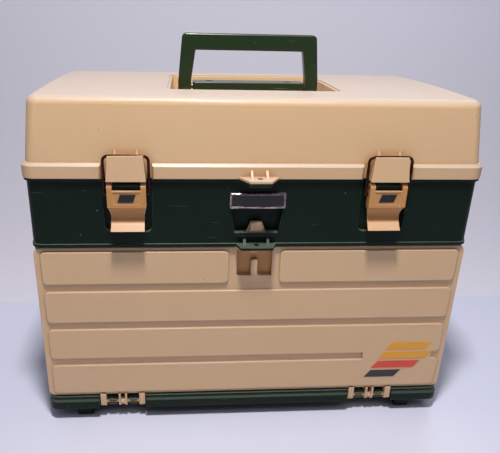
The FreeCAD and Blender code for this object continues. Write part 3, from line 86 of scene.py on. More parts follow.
camera_data = bpy.data.cameras.new("photo_camera")
camera_data.sensor_width = SENSOR_WIDTH
camera_data.lens = FOCAL_PIXELS / PHOTO_WIDTH * SENSOR_WIDTH
camera_data.shift_x = (PHOTO_WIDTH / 2 - PICTURE_CENTRE[0]) / PHOTO_WIDTH
camera_data.shift_y = (PICTURE_CENTRE[1] - PHOTO_HEIGHT / 2) / PHOTO_WIDTH
camera = bpy.data.objects.new("photo_camera", camera_data)
camera.matrix_world = Matrix.Translation(CAMERA_PLACE) @ camera_turn(
    CAMERA_YAW, CAMERA_PITCH, CAMERA_ROLL).to_4x4()
bpy.context.scene.collection.objects.link(camera)
bpy.context.scene.camera = camera
print(f"camera lens {camera_data.lens:.1f} mm")

# %% [markdown]
# ## Table, backdrop and light
# The cabinet stands on a pale table in front of a plain backdrop. The table's tone stops a little way
# behind the cabinet, where the photo has its seam. The backdrop then sweeps up in one curve, so that no
# wall stands in the way of the opened lid, and it is wide, so that no side view looks past its ends. It
# glows a little, and more higher up. This glow is painted light, since no lamp stands behind it. One small
# lamp above the front throws the crisp, short shadows under the relief. The pale table throws much of that
# light back up at the upright faces, a high fill adds a little more, and the room very little. A weak lamp
# behind keeps the back readable.

# %% Node helpers
def new_material(name):
    """An empty node material with a Principled shader and an output."""
    material = bpy.data.materials.new(name)
    material.use_nodes = True
    tree = material.node_tree
    tree.nodes.clear()
    output = tree.nodes.new("ShaderNodeOutputMaterial")
    shader = tree.nodes.new("ShaderNodeBsdfPrincipled")
    tree.links.new(shader.outputs["BSDF"], output.inputs["Surface"])
    return material, tree, shader


def add_node(tree, kind, settings=None, **values):
    """A node with its properties and its unlinked inputs set by name, underscores for spaces."""
    node = tree.nodes.new(kind)
    for name, value in (settings or {}).items():
        setattr(node, name, value)
    for name, value in values.items():
        node.inputs[name.replace("_", " ")].default_value = value
    return node


def srgb(red, green, blue):
    """A colour as a paint chart gives it, from 0 to 255, in the linear values that a shader takes."""
    def linear(value):
        share = value / 255
        return share / 12.92 if share <= 0.04045 else ((share + 0.055) / 1.055) ** 2.4
    return (linear(red), linear(green), linear(blue), 1.0)


def math_node(tree, operation, first, second=None):
    """One sum of two sockets or numbers."""
    node = add_node(tree, "ShaderNodeMath", {"operation": operation})
    for index, value in enumerate((first, second)):
        if value is None:
            continue
        if isinstance(value, (int, float)):
            node.inputs[index].default_value = value
        else:
            tree.links.new(value, node.inputs[index])
    return node.outputs["Value"]


def mixed(tree, share, first, second):
    """A colour that goes from the first to the second by a share between 0 and 1."""
    node = add_node(tree, "ShaderNodeMix", {"data_type": "RGBA"})
    tree.links.new(share, node.inputs[0])
    for index, value in ((6, first), (7, second)):
        if isinstance(value, tuple):
            node.inputs[index].default_value = value
        else:
            tree.links.new(value, node.inputs[index])
    return node.outputs[2]


print("node helpers ready")

# %% Table and backdrop
STAGE_HALF_WIDTH = 6.5
TABLE_FRONT = -2.6
SEAM_PLACE = 0.172
SEAM_BLUR = 0.0006
SWEEP_START = 0.45
SWEEP_RADIUS = 0.85
SWEEP_STEPS = 24
BACKDROP_TOP = 3.4
TABLE_COLOUR = srgb(216, 220, 242)
BACKDROP_COLOUR = srgb(216, 214, 228)
# Painted light: the backdrop emits light itself, a share of it at its foot and all of it higher up.
BACKDROP_PAINTED_LIGHT = 0.22
PAINTED_LIGHT_RISE = 0.5
PAINTED_LIGHT_AT_FOOT = 0.3
TABLE_ROUGHNESS = 0.32
BACKDROP_ROUGHNESS = 0.8


def sweep_profile():
    """The stage's side view: flat table, a quarter circle, then straight up."""
    places = [(TABLE_FRONT, 0.0), (SWEEP_START, 0.0)]
    for step in range(1, SWEEP_STEPS + 1):
        turn = math.pi / 2 * step / SWEEP_STEPS
        places.append((SWEEP_START + SWEEP_RADIUS * math.sin(turn), SWEEP_RADIUS * (1 - math.cos(turn))))
    places.append((SWEEP_START + SWEEP_RADIUS, BACKDROP_TOP))
    return places


profile = sweep_profile()
stage_mesh = bpy.data.meshes.new("table_and_backdrop")
stage_mesh.from_pydata([(x, y, z) for y, z in profile for x in (-STAGE_HALF_WIDTH, STAGE_HALF_WIDTH)], [],
                       [(2 * i, 2 * i + 1, 2 * i + 3, 2 * i + 2) for i in range(len(profile) - 1)])
stage_mesh.polygons.foreach_set("use_smooth", [True] * len(stage_mesh.polygons))
stage = bpy.data.objects.new("table_and_backdrop", stage_mesh)
bpy.context.scene.collection.objects.link(stage)
material, tree, shader = new_material("table_and_backdrop")
apart = tree.nodes.new("ShaderNodeSeparateXYZ")
tree.links.new(tree.nodes.new("ShaderNodeTexCoord").outputs["Object"], apart.inputs["Vector"])
behind = add_node(tree, "ShaderNodeMapRange", From_Min=SEAM_PLACE - SEAM_BLUR, From_Max=SEAM_PLACE + SEAM_BLUR)
tree.links.new(apart.outputs["Y"], behind.inputs["Value"])
tree.links.new(mixed(tree, behind.outputs["Result"], TABLE_COLOUR, BACKDROP_COLOUR), shader.inputs["Base Color"])
dull = add_node(tree, "ShaderNodeMapRange", To_Min=TABLE_ROUGHNESS, To_Max=BACKDROP_ROUGHNESS)
tree.links.new(behind.outputs["Result"], dull.inputs["Value"])
tree.links.new(dull.outputs["Result"], shader.inputs["Roughness"])
# Painted light: behind the seam the backdrop glows, and it glows more the higher it is.
higher = add_node(tree, "ShaderNodeMapRange", From_Max=PAINTED_LIGHT_RISE, To_Min=PAINTED_LIGHT_AT_FOOT)
tree.links.new(apart.outputs["Z"], higher.inputs["Value"])
painted_light = math_node(tree, "MULTIPLY", behind.outputs["Result"], higher.outputs["Result"])
tree.links.new(math_node(tree, "MULTIPLY", painted_light, BACKDROP_PAINTED_LIGHT), shader.inputs["Emission Strength"])
shader.inputs["Emission Color"].default_value = BACKDROP_COLOUR
stage_mesh.materials.append(material)
print("table and backdrop in", len(stage_mesh.polygons), "strips")

# %% Lights
# Each lamp: its place, the point that it looks at, its two sizes, its power in watts and its colour.
LAMPS = {
    "key": ((-0.07, -0.49, 1.46), (0.0, -0.1, 0.2), (0.15, 0.15), 17.8, (1.0, 0.965, 0.93)),
    "behind": ((0.9, 0.95, 1.6), (0.0, 0.1, 0.2), (1.0, 0.6), 3.5, (0.93, 0.96, 1.0)),
    "fill": ((0.2, -1.25, 1.9), (0.0, -0.1, 0.2), (1.2, 0.6), 4.5, (1.0, 0.95, 0.89)),
}
ROOM_COLOUR = (0.78, 0.80, 0.92, 1.0)
ROOM_STRENGTH = 0.11

for name, (place, aim, size, power, colour) in LAMPS.items():
    lamp_data = bpy.data.lights.new(name, "AREA")
    lamp_data.shape = "RECTANGLE"
    lamp_data.size, lamp_data.size_y = size
    lamp_data.energy = power
    lamp_data.color = colour
    lamp = bpy.data.objects.new(name, lamp_data)
    lamp.location = place
    lamp.rotation_euler = (Vector(aim) - Vector(place)).to_track_quat("-Z", "Y").to_euler()
    bpy.context.scene.collection.objects.link(lamp)

world = bpy.data.worlds.new("room")
world.use_nodes = True
world.node_tree.nodes["Background"].inputs["Color"].default_value = ROOM_COLOUR
world.node_tree.nodes["Background"].inputs["Strength"].default_value = ROOM_STRENGTH
bpy.context.scene.world = world
bpy.context.scene.view_settings.view_transform = "Standard"
print(f"{len(LAMPS)} lamps and the room's own light")

# %% [markdown]
# ## Effects that several plastics share
# Several effects turn up in every moulding: a fine grain from the mould's etched steel, paler worn edges,
# thin scratches from use, small specks, a painted sheen on the faces that look up, and painted shade in
# hollows: a darker, deeper tone that stands in for shade and for bounce light between coloured walls. Each
# is a node group with named inputs, built once, so a material only says how much of it there is. A group
# hands out masks and heights, and the shader stays outside.

# %% Group helpers
def new_group(name, inputs, outputs):
    """A node group with float inputs and outputs, and its two end nodes."""
    group = bpy.data.node_groups.new(name, "ShaderNodeTree")
    for label, value in inputs.items():
        socket = group.interface.new_socket(label, in_out="INPUT", socket_type="NodeSocketFloat")
        socket.default_value = value
    for label in outputs:
        group.interface.new_socket(label, in_out="OUTPUT", socket_type="NodeSocketFloat")
    return group, group.nodes.new("NodeGroupInput"), group.nodes.new("NodeGroupOutput")


def object_place(tree):
    """Each point's own place on the piece, in metres."""
    return tree.nodes.new("ShaderNodeTexCoord").outputs["Object"]


print("group helpers ready")

# %% Moulded grain
# The height of a pebbled mould surface: rounded cells broken up by a finer noise. Tone is a slow,
# faint drift of the colour, as a big moulding has.
FINER_NOISE = 1.9

grain_group, ends_in, ends_out = new_group(
    "moulded_grain", {"Cells per metre": 900.0, "Softness": 0.5}, ["Height", "Tone"])
place = object_place(grain_group)
cells = add_node(grain_group, "ShaderNodeTexVoronoi", {"feature": "SMOOTH_F1"}, Smoothness=0.6)
fine = add_node(grain_group, "ShaderNodeTexNoise", Detail=3.0, Roughness=0.6)
slow = add_node(grain_group, "ShaderNodeTexNoise", Scale=9.0, Detail=2.0)
for node in (cells, fine, slow):
    grain_group.links.new(place, node.inputs["Vector"])
grain_group.links.new(ends_in.outputs["Cells per metre"], cells.inputs["Scale"])
grain_group.links.new(math_node(grain_group, "MULTIPLY", ends_in.outputs["Cells per metre"], FINER_NOISE),
                      fine.inputs["Scale"])
blend_share = add_node(grain_group, "ShaderNodeMix", {"data_type": "FLOAT"})
grain_group.links.new(ends_in.outputs["Softness"], blend_share.inputs[0])
grain_group.links.new(cells.outputs["Distance"], blend_share.inputs[2])
grain_group.links.new(fine.outputs["Fac"], blend_share.inputs[3])
grain_group.links.new(blend_share.outputs[0], ends_out.inputs["Height"])
grain_group.links.new(slow.outputs["Fac"], ends_out.inputs["Tone"])
print("moulded_grain:", len(grain_group.nodes), "nodes")

# %% Worn edges
# A Bevel node looks at the surface a little way round each point. Where its answer leans away from the
# true face there is an edge, which hands and tables have rubbed. Noise breaks the line up.
EDGE_LEANS = (0.995, 0.86)
WORN_PATCHES = (0.35, 0.7)

wear_group, ends_in, ends_out = new_group(
    "worn_edges", {"Reach": 0.0012, "Patchiness": 60.0, "Amount": 1.0}, ["Mask"])
rounded = add_node(wear_group, "ShaderNodeBevel", {"samples": 4})
wear_group.links.new(ends_in.outputs["Reach"], rounded.inputs["Radius"])
facing = wear_group.nodes.new("ShaderNodeNewGeometry")
lean = add_node(wear_group, "ShaderNodeVectorMath", {"operation": "DOT_PRODUCT"})
wear_group.links.new(rounded.outputs["Normal"], lean.inputs[0])
wear_group.links.new(facing.outputs["True Normal"], lean.inputs[1])
edge = add_node(wear_group, "ShaderNodeMapRange", {"interpolation_type": "SMOOTHSTEP"},
                From_Min=EDGE_LEANS[0], From_Max=EDGE_LEANS[1])
wear_group.links.new(lean.outputs["Value"], edge.inputs["Value"])
patches = add_node(wear_group, "ShaderNodeTexNoise", Detail=4.0, Roughness=0.65)
wear_group.links.new(object_place(wear_group), patches.inputs["Vector"])
wear_group.links.new(ends_in.outputs["Patchiness"], patches.inputs["Scale"])
worn_here = add_node(wear_group, "ShaderNodeMapRange", From_Min=WORN_PATCHES[0], From_Max=WORN_PATCHES[1])
wear_group.links.new(patches.outputs["Fac"], worn_here.inputs["Value"])
product = math_node(wear_group, "MULTIPLY", edge.outputs["Result"], worn_here.outputs["Result"])
wear_group.links.new(math_node(wear_group, "MULTIPLY", product, ends_in.outputs["Amount"]),
                     ends_out.inputs["Mask"])
print("worn_edges:", len(wear_group.nodes), "nodes")

# %% Fine scratches
# Long thin scratches come from a noise that is stretched along the piece and cut to its thin crests.
# Two sets at different slants keep them from looking combed.
SCRATCH_SLANTS = (0.35, -1.1)
SCRATCH_STRETCH = 22.0
SCRATCH_CRESTS = (0.775, 0.80)

scratch_group, ends_in, ends_out = new_group(
    "fine_scratches", {"Density": 26.0, "Amount": 1.0}, ["Mask"])
strongest = None
for slant in SCRATCH_SLANTS:
    turn = add_node(scratch_group, "ShaderNodeMapping", Rotation=(slant, slant, slant),
                    Scale=(1.0, 1.0, SCRATCH_STRETCH))
    scratch_group.links.new(object_place(scratch_group), turn.inputs["Vector"])
    crests = add_node(scratch_group, "ShaderNodeTexNoise", Detail=1.0, Distortion=0.2)
    scratch_group.links.new(turn.outputs["Vector"], crests.inputs["Vector"])
    scratch_group.links.new(ends_in.outputs["Density"], crests.inputs["Scale"])
    thin = add_node(scratch_group, "ShaderNodeMapRange", From_Min=SCRATCH_CRESTS[0], From_Max=SCRATCH_CRESTS[1])
    scratch_group.links.new(crests.outputs["Fac"], thin.inputs["Value"])
    line = thin.outputs["Result"]
    strongest = line if strongest is None else math_node(scratch_group, "MAXIMUM", strongest, line)
scratch_group.links.new(math_node(scratch_group, "MULTIPLY", strongest, ends_in.outputs["Amount"]),
                        ends_out.inputs["Mask"])
print("fine_scratches:", len(scratch_group.nodes), "nodes")

# %% Small specks
# Knocks and splashes leave tiny round specks. They are the middles of a few cells of a Voronoi pattern.
# The cell's own random value decides whether it has a speck at all.
SPECK_RIM = (0.10, 0.07)

speck_group, ends_in, ends_out = new_group("small_specks", {"Density": 150.0, "Share": 0.04}, ["Mask"])
dots = add_node(speck_group, "ShaderNodeTexVoronoi", {"feature": "F1"})
speck_group.links.new(object_place(speck_group), dots.inputs["Vector"])
speck_group.links.new(ends_in.outputs["Density"], dots.inputs["Scale"])
middle = add_node(speck_group, "ShaderNodeMapRange", From_Min=SPECK_RIM[0], From_Max=SPECK_RIM[1])
speck_group.links.new(dots.outputs["Distance"], middle.inputs["Value"])
parts_of_cell = speck_group.nodes.new("ShaderNodeSeparateColor")
speck_group.links.new(dots.outputs["Color"], parts_of_cell.inputs["Color"])
chosen = math_node(speck_group, "LESS_THAN", parts_of_cell.outputs["Red"], ends_in.outputs["Share"])
speck_group.links.new(math_node(speck_group, "MULTIPLY", middle.outputs["Result"], chosen),
                      ends_out.inputs["Mask"])
print("small_specks:", len(speck_group.nodes), "nodes")

# %% Painted sheen on tops
# Faces that look up take a paler, greyer colour. This is a painted sheen and highlight for the light that they
# catch. The mask follows the surface's own upward lean.
UPWARD_LEANS = (0.25, 0.9)

top_sheen_group, ends_in, ends_out = new_group("painted_top_sheen", {"Amount": 0.4}, ["Mask"])
lean_parts = top_sheen_group.nodes.new("ShaderNodeSeparateXYZ")
top_sheen_group.links.new(top_sheen_group.nodes.new("ShaderNodeTexCoord").outputs["Normal"], lean_parts.inputs["Vector"])
upward = add_node(top_sheen_group, "ShaderNodeMapRange", {"interpolation_type": "SMOOTHSTEP"},
                  From_Min=UPWARD_LEANS[0], From_Max=UPWARD_LEANS[1])
top_sheen_group.links.new(lean_parts.outputs["Z"], upward.inputs["Value"])
top_sheen_group.links.new(math_node(top_sheen_group, "MULTIPLY", upward.outputs["Result"], ends_in.outputs["Amount"]),
                     ends_out.inputs["Mask"])
print("painted_top_sheen:", len(top_sheen_group.nodes), "nodes")

# %% Painted shade in hollows
# An Ambient Occlusion node tells how closed in a point is. Hollows and the roots of ribs take a darker,
# deeper tone. It is painted shade, and painted bounce light that deepens the colour between two coloured walls.
OPENNESS = (0.92, 0.45)

hollow_shade_group, ends_in, ends_out = new_group("painted_hollow_shade", {"Reach": 0.012, "Amount": 0.6}, ["Mask"])
closed = add_node(hollow_shade_group, "ShaderNodeAmbientOcclusion", {"samples": 8})
hollow_shade_group.links.new(ends_in.outputs["Reach"], closed.inputs["Distance"])
depth = add_node(hollow_shade_group, "ShaderNodeMapRange", From_Min=OPENNESS[0], From_Max=OPENNESS[1])
hollow_shade_group.links.new(closed.outputs["AO"], depth.inputs["Value"])
hollow_shade_group.links.new(math_node(hollow_shade_group, "MULTIPLY", depth.outputs["Result"], ends_in.outputs["Amount"]),
                       ends_out.inputs["Mask"])
print("painted_hollow_shade:", len(hollow_shade_group.nodes), "nodes")

# %% Painted shade in the latch recess
# The floor of the door's small recess takes a darker, deeper amber. This is painted shade and painted bounce
# light. A point belongs to it when it lies between the recess's sides, between its sill and its top, deeper
# than its rib and not yet on the door's back. Each limit is one comparison, and the mask is their product.
recess_shade_group, ends_in, ends_out = new_group(
    "painted_recess_shade", {"Half width": 0.0215, "Sill": 0.2075, "Top": 0.243, "Depth": -0.1318, "Back": -0.1262,
                     "Amount": 0.85}, ["Mask"])
spot = recess_shade_group.nodes.new("ShaderNodeSeparateXYZ")
recess_shade_group.links.new(object_place(recess_shade_group), spot.inputs["Vector"])
mask = ends_in.outputs["Amount"]
for test, value, limit in (
        ("LESS_THAN", math_node(recess_shade_group, "ABSOLUTE", spot.outputs["X"]), "Half width"),
        ("GREATER_THAN", spot.outputs["Z"], "Sill"), ("LESS_THAN", spot.outputs["Z"], "Top"),
        ("GREATER_THAN", spot.outputs["Y"], "Depth"), ("LESS_THAN", spot.outputs["Y"], "Back")):
    mask = math_node(recess_shade_group, "MULTIPLY", mask, math_node(recess_shade_group, test, value, ends_in.outputs[limit]))
recess_shade_group.links.new(mask, ends_out.inputs["Mask"])
print("painted_recess_shade:", len(recess_shade_group.nodes), "nodes")

# %% [markdown]
# ## The plastics
# The lid and the door are one sand-coloured plastic, satin and finely grained. The case and the handle
# are a very dark green. The levers are a warmer amber that is polished by fingers. One function builds
# all of them from the shared effects, so they differ only in their values.

# %% Plastic finish
PLASTIC_IOR = 1.49
ROUGHNESS_DRIFT = (-0.05, 0.07)
EDGE_POLISH = 0.12


def place_group(tree, group, **values):
    """One copy of an effect group in a material, with its inputs set."""
    node = tree.nodes.new("ShaderNodeGroup")
    node.node_tree = group
    for name, value in values.items():
        node.inputs[name.replace("_", " ")].default_value = value
    return node


def plastic(name, colour, shade, worn, roughness, grain=900.0, grain_depth=0.00003, wear=0.5,
            scratches=0.2, specks=0.03, speck_colour=None, sheen_amount=0.3, sheen_colour=None, gloss=0.5, deep=None,
            recess_shade=None):
    """A moulded plastic: two close tones, grain, paler edges, scratches, specks and a painted sheen on tops.

    Where they are given, "deep" paints shade into the hollows and "recess_shade" paints shade onto the latch
    recess's floor."""
    material, tree, shader = new_material(name)
    texture = place_group(tree, grain_group, Cells_per_metre=grain)
    edges = place_group(tree, wear_group, Amount=wear)
    lines = place_group(tree, scratch_group, Amount=scratches)
    dots = place_group(tree, speck_group, Share=specks)
    tops = place_group(tree, top_sheen_group, Amount=sheen_amount)
    tone = mixed(tree, texture.outputs["Tone"], colour, shade)
    # Painted sheen: faces that look up take the paler sheen colour.
    tone = mixed(tree, tops.outputs["Mask"], tone, sheen_colour or worn)
    if deep:
        # Painted shade: hollows take the darker "deep" colour.
        hollows = place_group(tree, hollow_shade_group)
        tone = mixed(tree, hollows.outputs["Mask"], tone, deep)
    if recess_shade:
        # Painted shade: the latch recess's floor takes the deeper amber.
        recess = place_group(tree, recess_shade_group)
        tone = mixed(tree, recess.outputs["Mask"], tone, recess_shade)
    tone = mixed(tree, edges.outputs["Mask"], tone, worn)
    tone = mixed(tree, lines.outputs["Mask"], tone, worn)
    tree.links.new(mixed(tree, dots.outputs["Mask"], tone, speck_colour or worn), shader.inputs["Base Color"])
    polish = add_node(tree, "ShaderNodeMapRange", To_Min=roughness + ROUGHNESS_DRIFT[0],
                      To_Max=roughness + ROUGHNESS_DRIFT[1])
    tree.links.new(texture.outputs["Tone"], polish.inputs["Value"])
    tree.links.new(math_node(tree, "SUBTRACT", polish.outputs["Result"],
                             math_node(tree, "MULTIPLY", edges.outputs["Mask"], EDGE_POLISH)),
                   shader.inputs["Roughness"])
    bump = add_node(tree, "ShaderNodeBump", Strength=1.0, Distance=grain_depth)
    tree.links.new(texture.outputs["Height"], bump.inputs["Height"])
    tree.links.new(bump.outputs["Normal"], shader.inputs["Normal"])
    shader.inputs["IOR"].default_value = PLASTIC_IOR
    shader.inputs["Specular IOR Level"].default_value = gloss
    return material


PALE_SAND = srgb(240, 226, 208)
# Painted sheen colour for the lid's upward faces.
SHEEN_SAND = srgb(192, 180, 172)
# Painted shade colour for hollows in the sand plastic.
SHADED_SAND = srgb(182, 128, 78)
# Painted shade colour for the latch recess's floor.
RECESS_SHADE_AMBER = srgb(214, 150, 76)
BROWN_PIT = srgb(120, 84, 52)
FINISHES = {
    "tan_shell": plastic("sand_moulding", srgb(227, 191, 149), srgb(221, 184, 142), PALE_SAND, 0.42,
                         specks=0.02, speck_colour=BROWN_PIT, sheen_amount=0.85, sheen_colour=SHEEN_SAND, deep=SHADED_SAND,
                         recess_shade=RECESS_SHADE_AMBER),
    "tan_drawer": plastic("sand_drawer", srgb(212, 182, 149), srgb(205, 174, 141), PALE_SAND, 0.46),
    "tan_divider": plastic("pale_divider", srgb(221, 202, 174), srgb(214, 194, 165), srgb(238, 225, 205), 0.5),
    # The green's sheen colour is a painted highlight on its upward bead and slopes.
    "green_case": plastic("green_moulding", srgb(17, 34, 23), srgb(13, 29, 19), srgb(138, 146, 136), 0.42,
                          grain=620.0, grain_depth=0.00012, wear=0.4, specks=0.05, sheen_amount=0.8,
                          sheen_colour=srgb(88, 100, 91), gloss=0.18),
    "green_handle": plastic("green_handle_moulding", srgb(40, 57, 33), srgb(33, 50, 27), srgb(118, 124, 96),
                            0.24, wear=0.45, scratches=0.5, specks=0.04, sheen_amount=0.15),
    # The lever's sheen colour is a painted highlight on its upward tip.
    "amber_lever": plastic("amber_moulding", srgb(212, 154, 92), srgb(202, 143, 82), srgb(240, 212, 180),
                           0.34, wear=0.8, scratches=0.6, specks=0.02, sheen_amount=0.6, sheen_colour=srgb(226, 204, 182),
                           deep=srgb(160, 100, 52)),
}
print(f"{len(FINISHES)} plastics")

# %% [markdown]
# ## Metal and print
# The bails are bronzed spring wire, the pins and screws plated or blackened steel, the nameplate has a bright
# printed border, and the badge is three colours of film. They are small, so each needs only one or two
# effects: tarnish in blotches with a polish that follows them, and a thin gloss coat over rubbed print.

# %% Metal and print finishes
RUBBED_FILM = srgb(214, 190, 160)


def metal(name, colour, tarnish, roughness, blotches=90.0):
    """A metal with blotches of tarnish, duller where the tarnish is."""
    material, tree, shader = new_material(name)
    blotch = add_node(tree, "ShaderNodeTexNoise", Scale=blotches, Detail=4.0, Roughness=0.6)
    tree.links.new(object_place(tree), blotch.inputs["Vector"])
    spread = add_node(tree, "ShaderNodeMapRange", From_Min=0.35, From_Max=0.65)
    tree.links.new(blotch.outputs["Fac"], spread.inputs["Value"])
    tree.links.new(mixed(tree, spread.outputs["Result"], colour, tarnish), shader.inputs["Base Color"])
    polish = add_node(tree, "ShaderNodeMapRange", To_Min=roughness * 0.7, To_Max=roughness * 1.3)
    tree.links.new(blotch.outputs["Fac"], polish.inputs["Value"])
    tree.links.new(polish.outputs["Result"], shader.inputs["Roughness"])
    shader.inputs["Metallic"].default_value = 1.0
    return material


def print_film(name, colour, shade, roughness=0.3):
    """A printed film: an even colour with faint mottling and rubbed edges under a thin gloss coat."""
    material, tree, shader = new_material(name)
    mottle = add_node(tree, "ShaderNodeTexNoise", Scale=400.0, Detail=3.0)
    tree.links.new(object_place(tree), mottle.inputs["Vector"])
    edges = place_group(tree, wear_group, Reach=0.0006, Patchiness=300.0, Amount=0.5)
    tone = mixed(tree, mottle.outputs["Fac"], colour, shade)
    tree.links.new(mixed(tree, edges.outputs["Mask"], tone, RUBBED_FILM), shader.inputs["Base Color"])
    polish = add_node(tree, "ShaderNodeMapRange", To_Min=roughness - 0.06, To_Max=roughness + 0.06)
    tree.links.new(mottle.outputs["Fac"], polish.inputs["Value"])
    tree.links.new(polish.outputs["Result"], shader.inputs["Roughness"])
    shader.inputs["Coat Weight"].default_value = 0.3
    return material


FINISHES.update({
    "bronze_wire": metal("bronzed_wire", srgb(88, 58, 46), srgb(52, 32, 26), 0.34, 300.0),
    "steel": metal("plated_steel", srgb(190, 190, 186), srgb(140, 138, 132), 0.3),
    "steel_dark": metal("blackened_steel", srgb(70, 68, 66), srgb(38, 36, 35), 0.4),
    "plate_border": metal("bright_border", srgb(206, 192, 190), srgb(132, 112, 106), 0.3, 260.0),
    "plate_black": print_film("black_plate", srgb(17, 16, 16), srgb(12, 12, 12), 0.3),
    "badge_yellow": print_film("yellow_film", srgb(246, 172, 14), srgb(238, 160, 10)),
    "badge_orange": print_film("orange_film", srgb(236, 72, 24), srgb(226, 62, 18)),
    "badge_dark": print_film("dark_film", srgb(44, 22, 26), srgb(34, 16, 20)),
})
print(f"{len(FINISHES)} finishes in all")

# %% [markdown]
# ## Rounded mouldings
# No mould makes a perfectly sharp edge, and it is the tiny round on each outer edge that catches the
# light. The working model's meshes are loose triangles, so each copy is welded and its flat faces are
# put back together. A Bevel modifier then rounds the outer edges. Where the faces beside an edge are
# narrow, the round gets narrower too, so that it never runs over the next edge. Inner corners and the
# shortest edges stay crisp. So does the whole upper tub, since rounds of unlike widths would leave thin
# gaps between the many small steps of its front band. Weighted normals keep the big faces flat, and the
# copy stands in for the working piece.

# %% Room beside an edge
WELD_DISTANCE = 0.000004
FLAT_ANGLE = math.radians(0.6)
SHARP_ANGLE = math.radians(28)
ROOM_SHARE = 0.42
NARROWEST_ROUND = 0.00006
SHORTEST_ROUNDED = 0.0009
TAPER_ALONG_EDGE = 1.3
TAPER_PASSES = 3
PLACES_ON_EDGE = (0.1, 0.5, 0.9)
FLAT_SHARE = 4.0
FOLDED_LEAN = -0.2


def room_in_face(face, edge):
    """How far one face reaches away from one of its edges, looked at from three places on the edge."""
    start = numpy.array(edge.verts[0].co)
    along = numpy.array(edge.verts[1].co) - start
    length = numpy.linalg.norm(along)
    along /= length
    inward = numpy.cross(numpy.array(face.normal), along)
    if inward @ (numpy.array(face.calc_center_median()) - start) < 0:
        inward = -inward
    others = [other for other in face.edges if other is not edge]
    ends = numpy.array([[other.verts[0].co, other.verts[1].co] for other in others]) - start
    far, deep = ends @ along, ends @ inward
    room = math.inf
    for share in PLACES_ON_EDGE:
        first, last = far[:, 0] - share * length, far[:, 1] - share * length
        crossing = first * last < 0
        if crossing.any():
            depth = deep[crossing, 0] + (deep[crossing, 1] - deep[crossing, 0]) * (
                first[crossing] / (first[crossing] - last[crossing]))
            depth = depth[depth > WELD_DISTANCE]
            room = min([room, *depth])
    return room


def round_weights(work, width):
    """Each outer edge's round as a share of the full width; the other sharp edges are marked sharp."""
    shares = {}
    for edge in work.edges:
        if len(edge.link_faces) != 2 or edge.calc_face_angle(0.0) < SHARP_ANGLE:
            continue
        edge.smooth = False
        if width and edge.is_convex and edge.calc_length() > SHORTEST_ROUNDED:
            room = min(room_in_face(face, edge) for face in edge.link_faces)
            shares[edge] = min(1.0, ROOM_SHARE * room / width)
    for _ in range(TAPER_PASSES):
        for edge in shares:
            beside = [shares[other] for vert in edge.verts for other in vert.link_edges if other in shares]
            shares[edge] = min(shares[edge], TAPER_ALONG_EDGE * min(beside))
    return {edge: share for edge, share in shares.items() if share * width > NARROWEST_ROUND}


def is_flat(face):
    """Whether a face is a flat field and not one strip of a curve: it dwarfs the faces it runs into."""
    beside = [other.calc_area() for edge in face.edges if edge.calc_face_angle(0.0) < SHARP_ANGLE
              for other in edge.link_faces if other is not face]
    return not beside or face.calc_area() > FLAT_SHARE * max(beside)


print("room helpers ready")

# %% Soft copies
ROUND_SEGMENTS = 2


def welded_copy(node, width):
    """The working piece's mesh in one skin, its flat faces whole, its outer edges weighted.

    Faces that bend round a window are cut into simpler ones at the end, or they would cover it."""
    work = bmesh.new()
    work.from_mesh(frame["nodes"][node].data)
    bmesh.ops.remove_doubles(work, verts=work.verts[:], dist=WELD_DISTANCE)
    bmesh.ops.dissolve_limit(work, angle_limit=FLAT_ANGLE, verts=work.verts[:], edges=work.edges[:])
    weight = work.edges.layers.float.new("bevel_weight_edge")
    for edge, share in round_weights(work, width).items():
        edge[weight] = share
        edge.smooth = True
    for face in work.faces:
        face.smooth = not is_flat(face)
    bmesh.ops.connect_verts_concave(work, faces=work.faces[:])
    mesh = bpy.data.meshes.new(node + "_soft")
    work.to_mesh(mesh)
    work.free()
    return mesh


def finished(source, name):
    """A plain object that holds another's evaluated mesh, with no modifiers left."""
    view = bpy.context.evaluated_depsgraph_get()
    mesh = bpy.data.meshes.new_from_object(source.evaluated_get(view))
    mesh.name = name
    piece = bpy.data.objects.new(name, mesh)
    bpy.context.scene.collection.objects.link(piece)
    bpy.data.objects.remove(source)
    return piece


def drop_folds(mesh, node):
    """Takes out the slivers that the rounding folded over: they face into the working piece."""
    working = frame["nodes"][node].data
    skin = BVHTree.FromPolygons([vert.co for vert in working.vertices],
                                [face.vertices[:] for face in working.polygons])
    work = bmesh.new()
    work.from_mesh(mesh)
    folded = [face for face in work.faces
              if skin.find_nearest(face.calc_center_median())[1].dot(face.normal) < FOLDED_LEAN]
    bmesh.ops.delete(work, geom=folded, context="FACES")
    work.to_mesh(mesh)
    work.free()
    return len(folded)


def dress(piece, node):
    """Gives a piece the finish of the working piece that it stands for, and its body."""
    slot = node_slot[node]
    piece.data.materials.clear()
    piece.data.materials.append(FINISHES[slot])
    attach(piece, node_body[node])
    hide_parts(node)


def soft_copy(node, width):
    """A copy of a working piece with every outer edge rounded to the given width."""
    rough = bpy.data.objects.new(node + "_rough", welded_copy(node, width))
    bpy.context.scene.collection.objects.link(rough)
    folds = 0
    if width:
        bevel = rough.modifiers.new("round", "BEVEL")
        bevel.width = width
        bevel.segments = ROUND_SEGMENTS
        bevel.limit_method = "WEIGHT"
        bevel.use_clamp_overlap = False
        bevel.face_strength_mode = "FSTR_ALL"
        rough = finished(rough, node + "_rounded")
        folds = drop_folds(rough.data, node)
    even = rough.modifiers.new("even", "WEIGHTED_NORMAL")
    even.keep_sharp = True
    even.use_face_influence = bool(width)
    piece = finished(rough, node + "_moulding")
    dress(piece, node)
    return piece, folds


print("soft copy helpers ready")

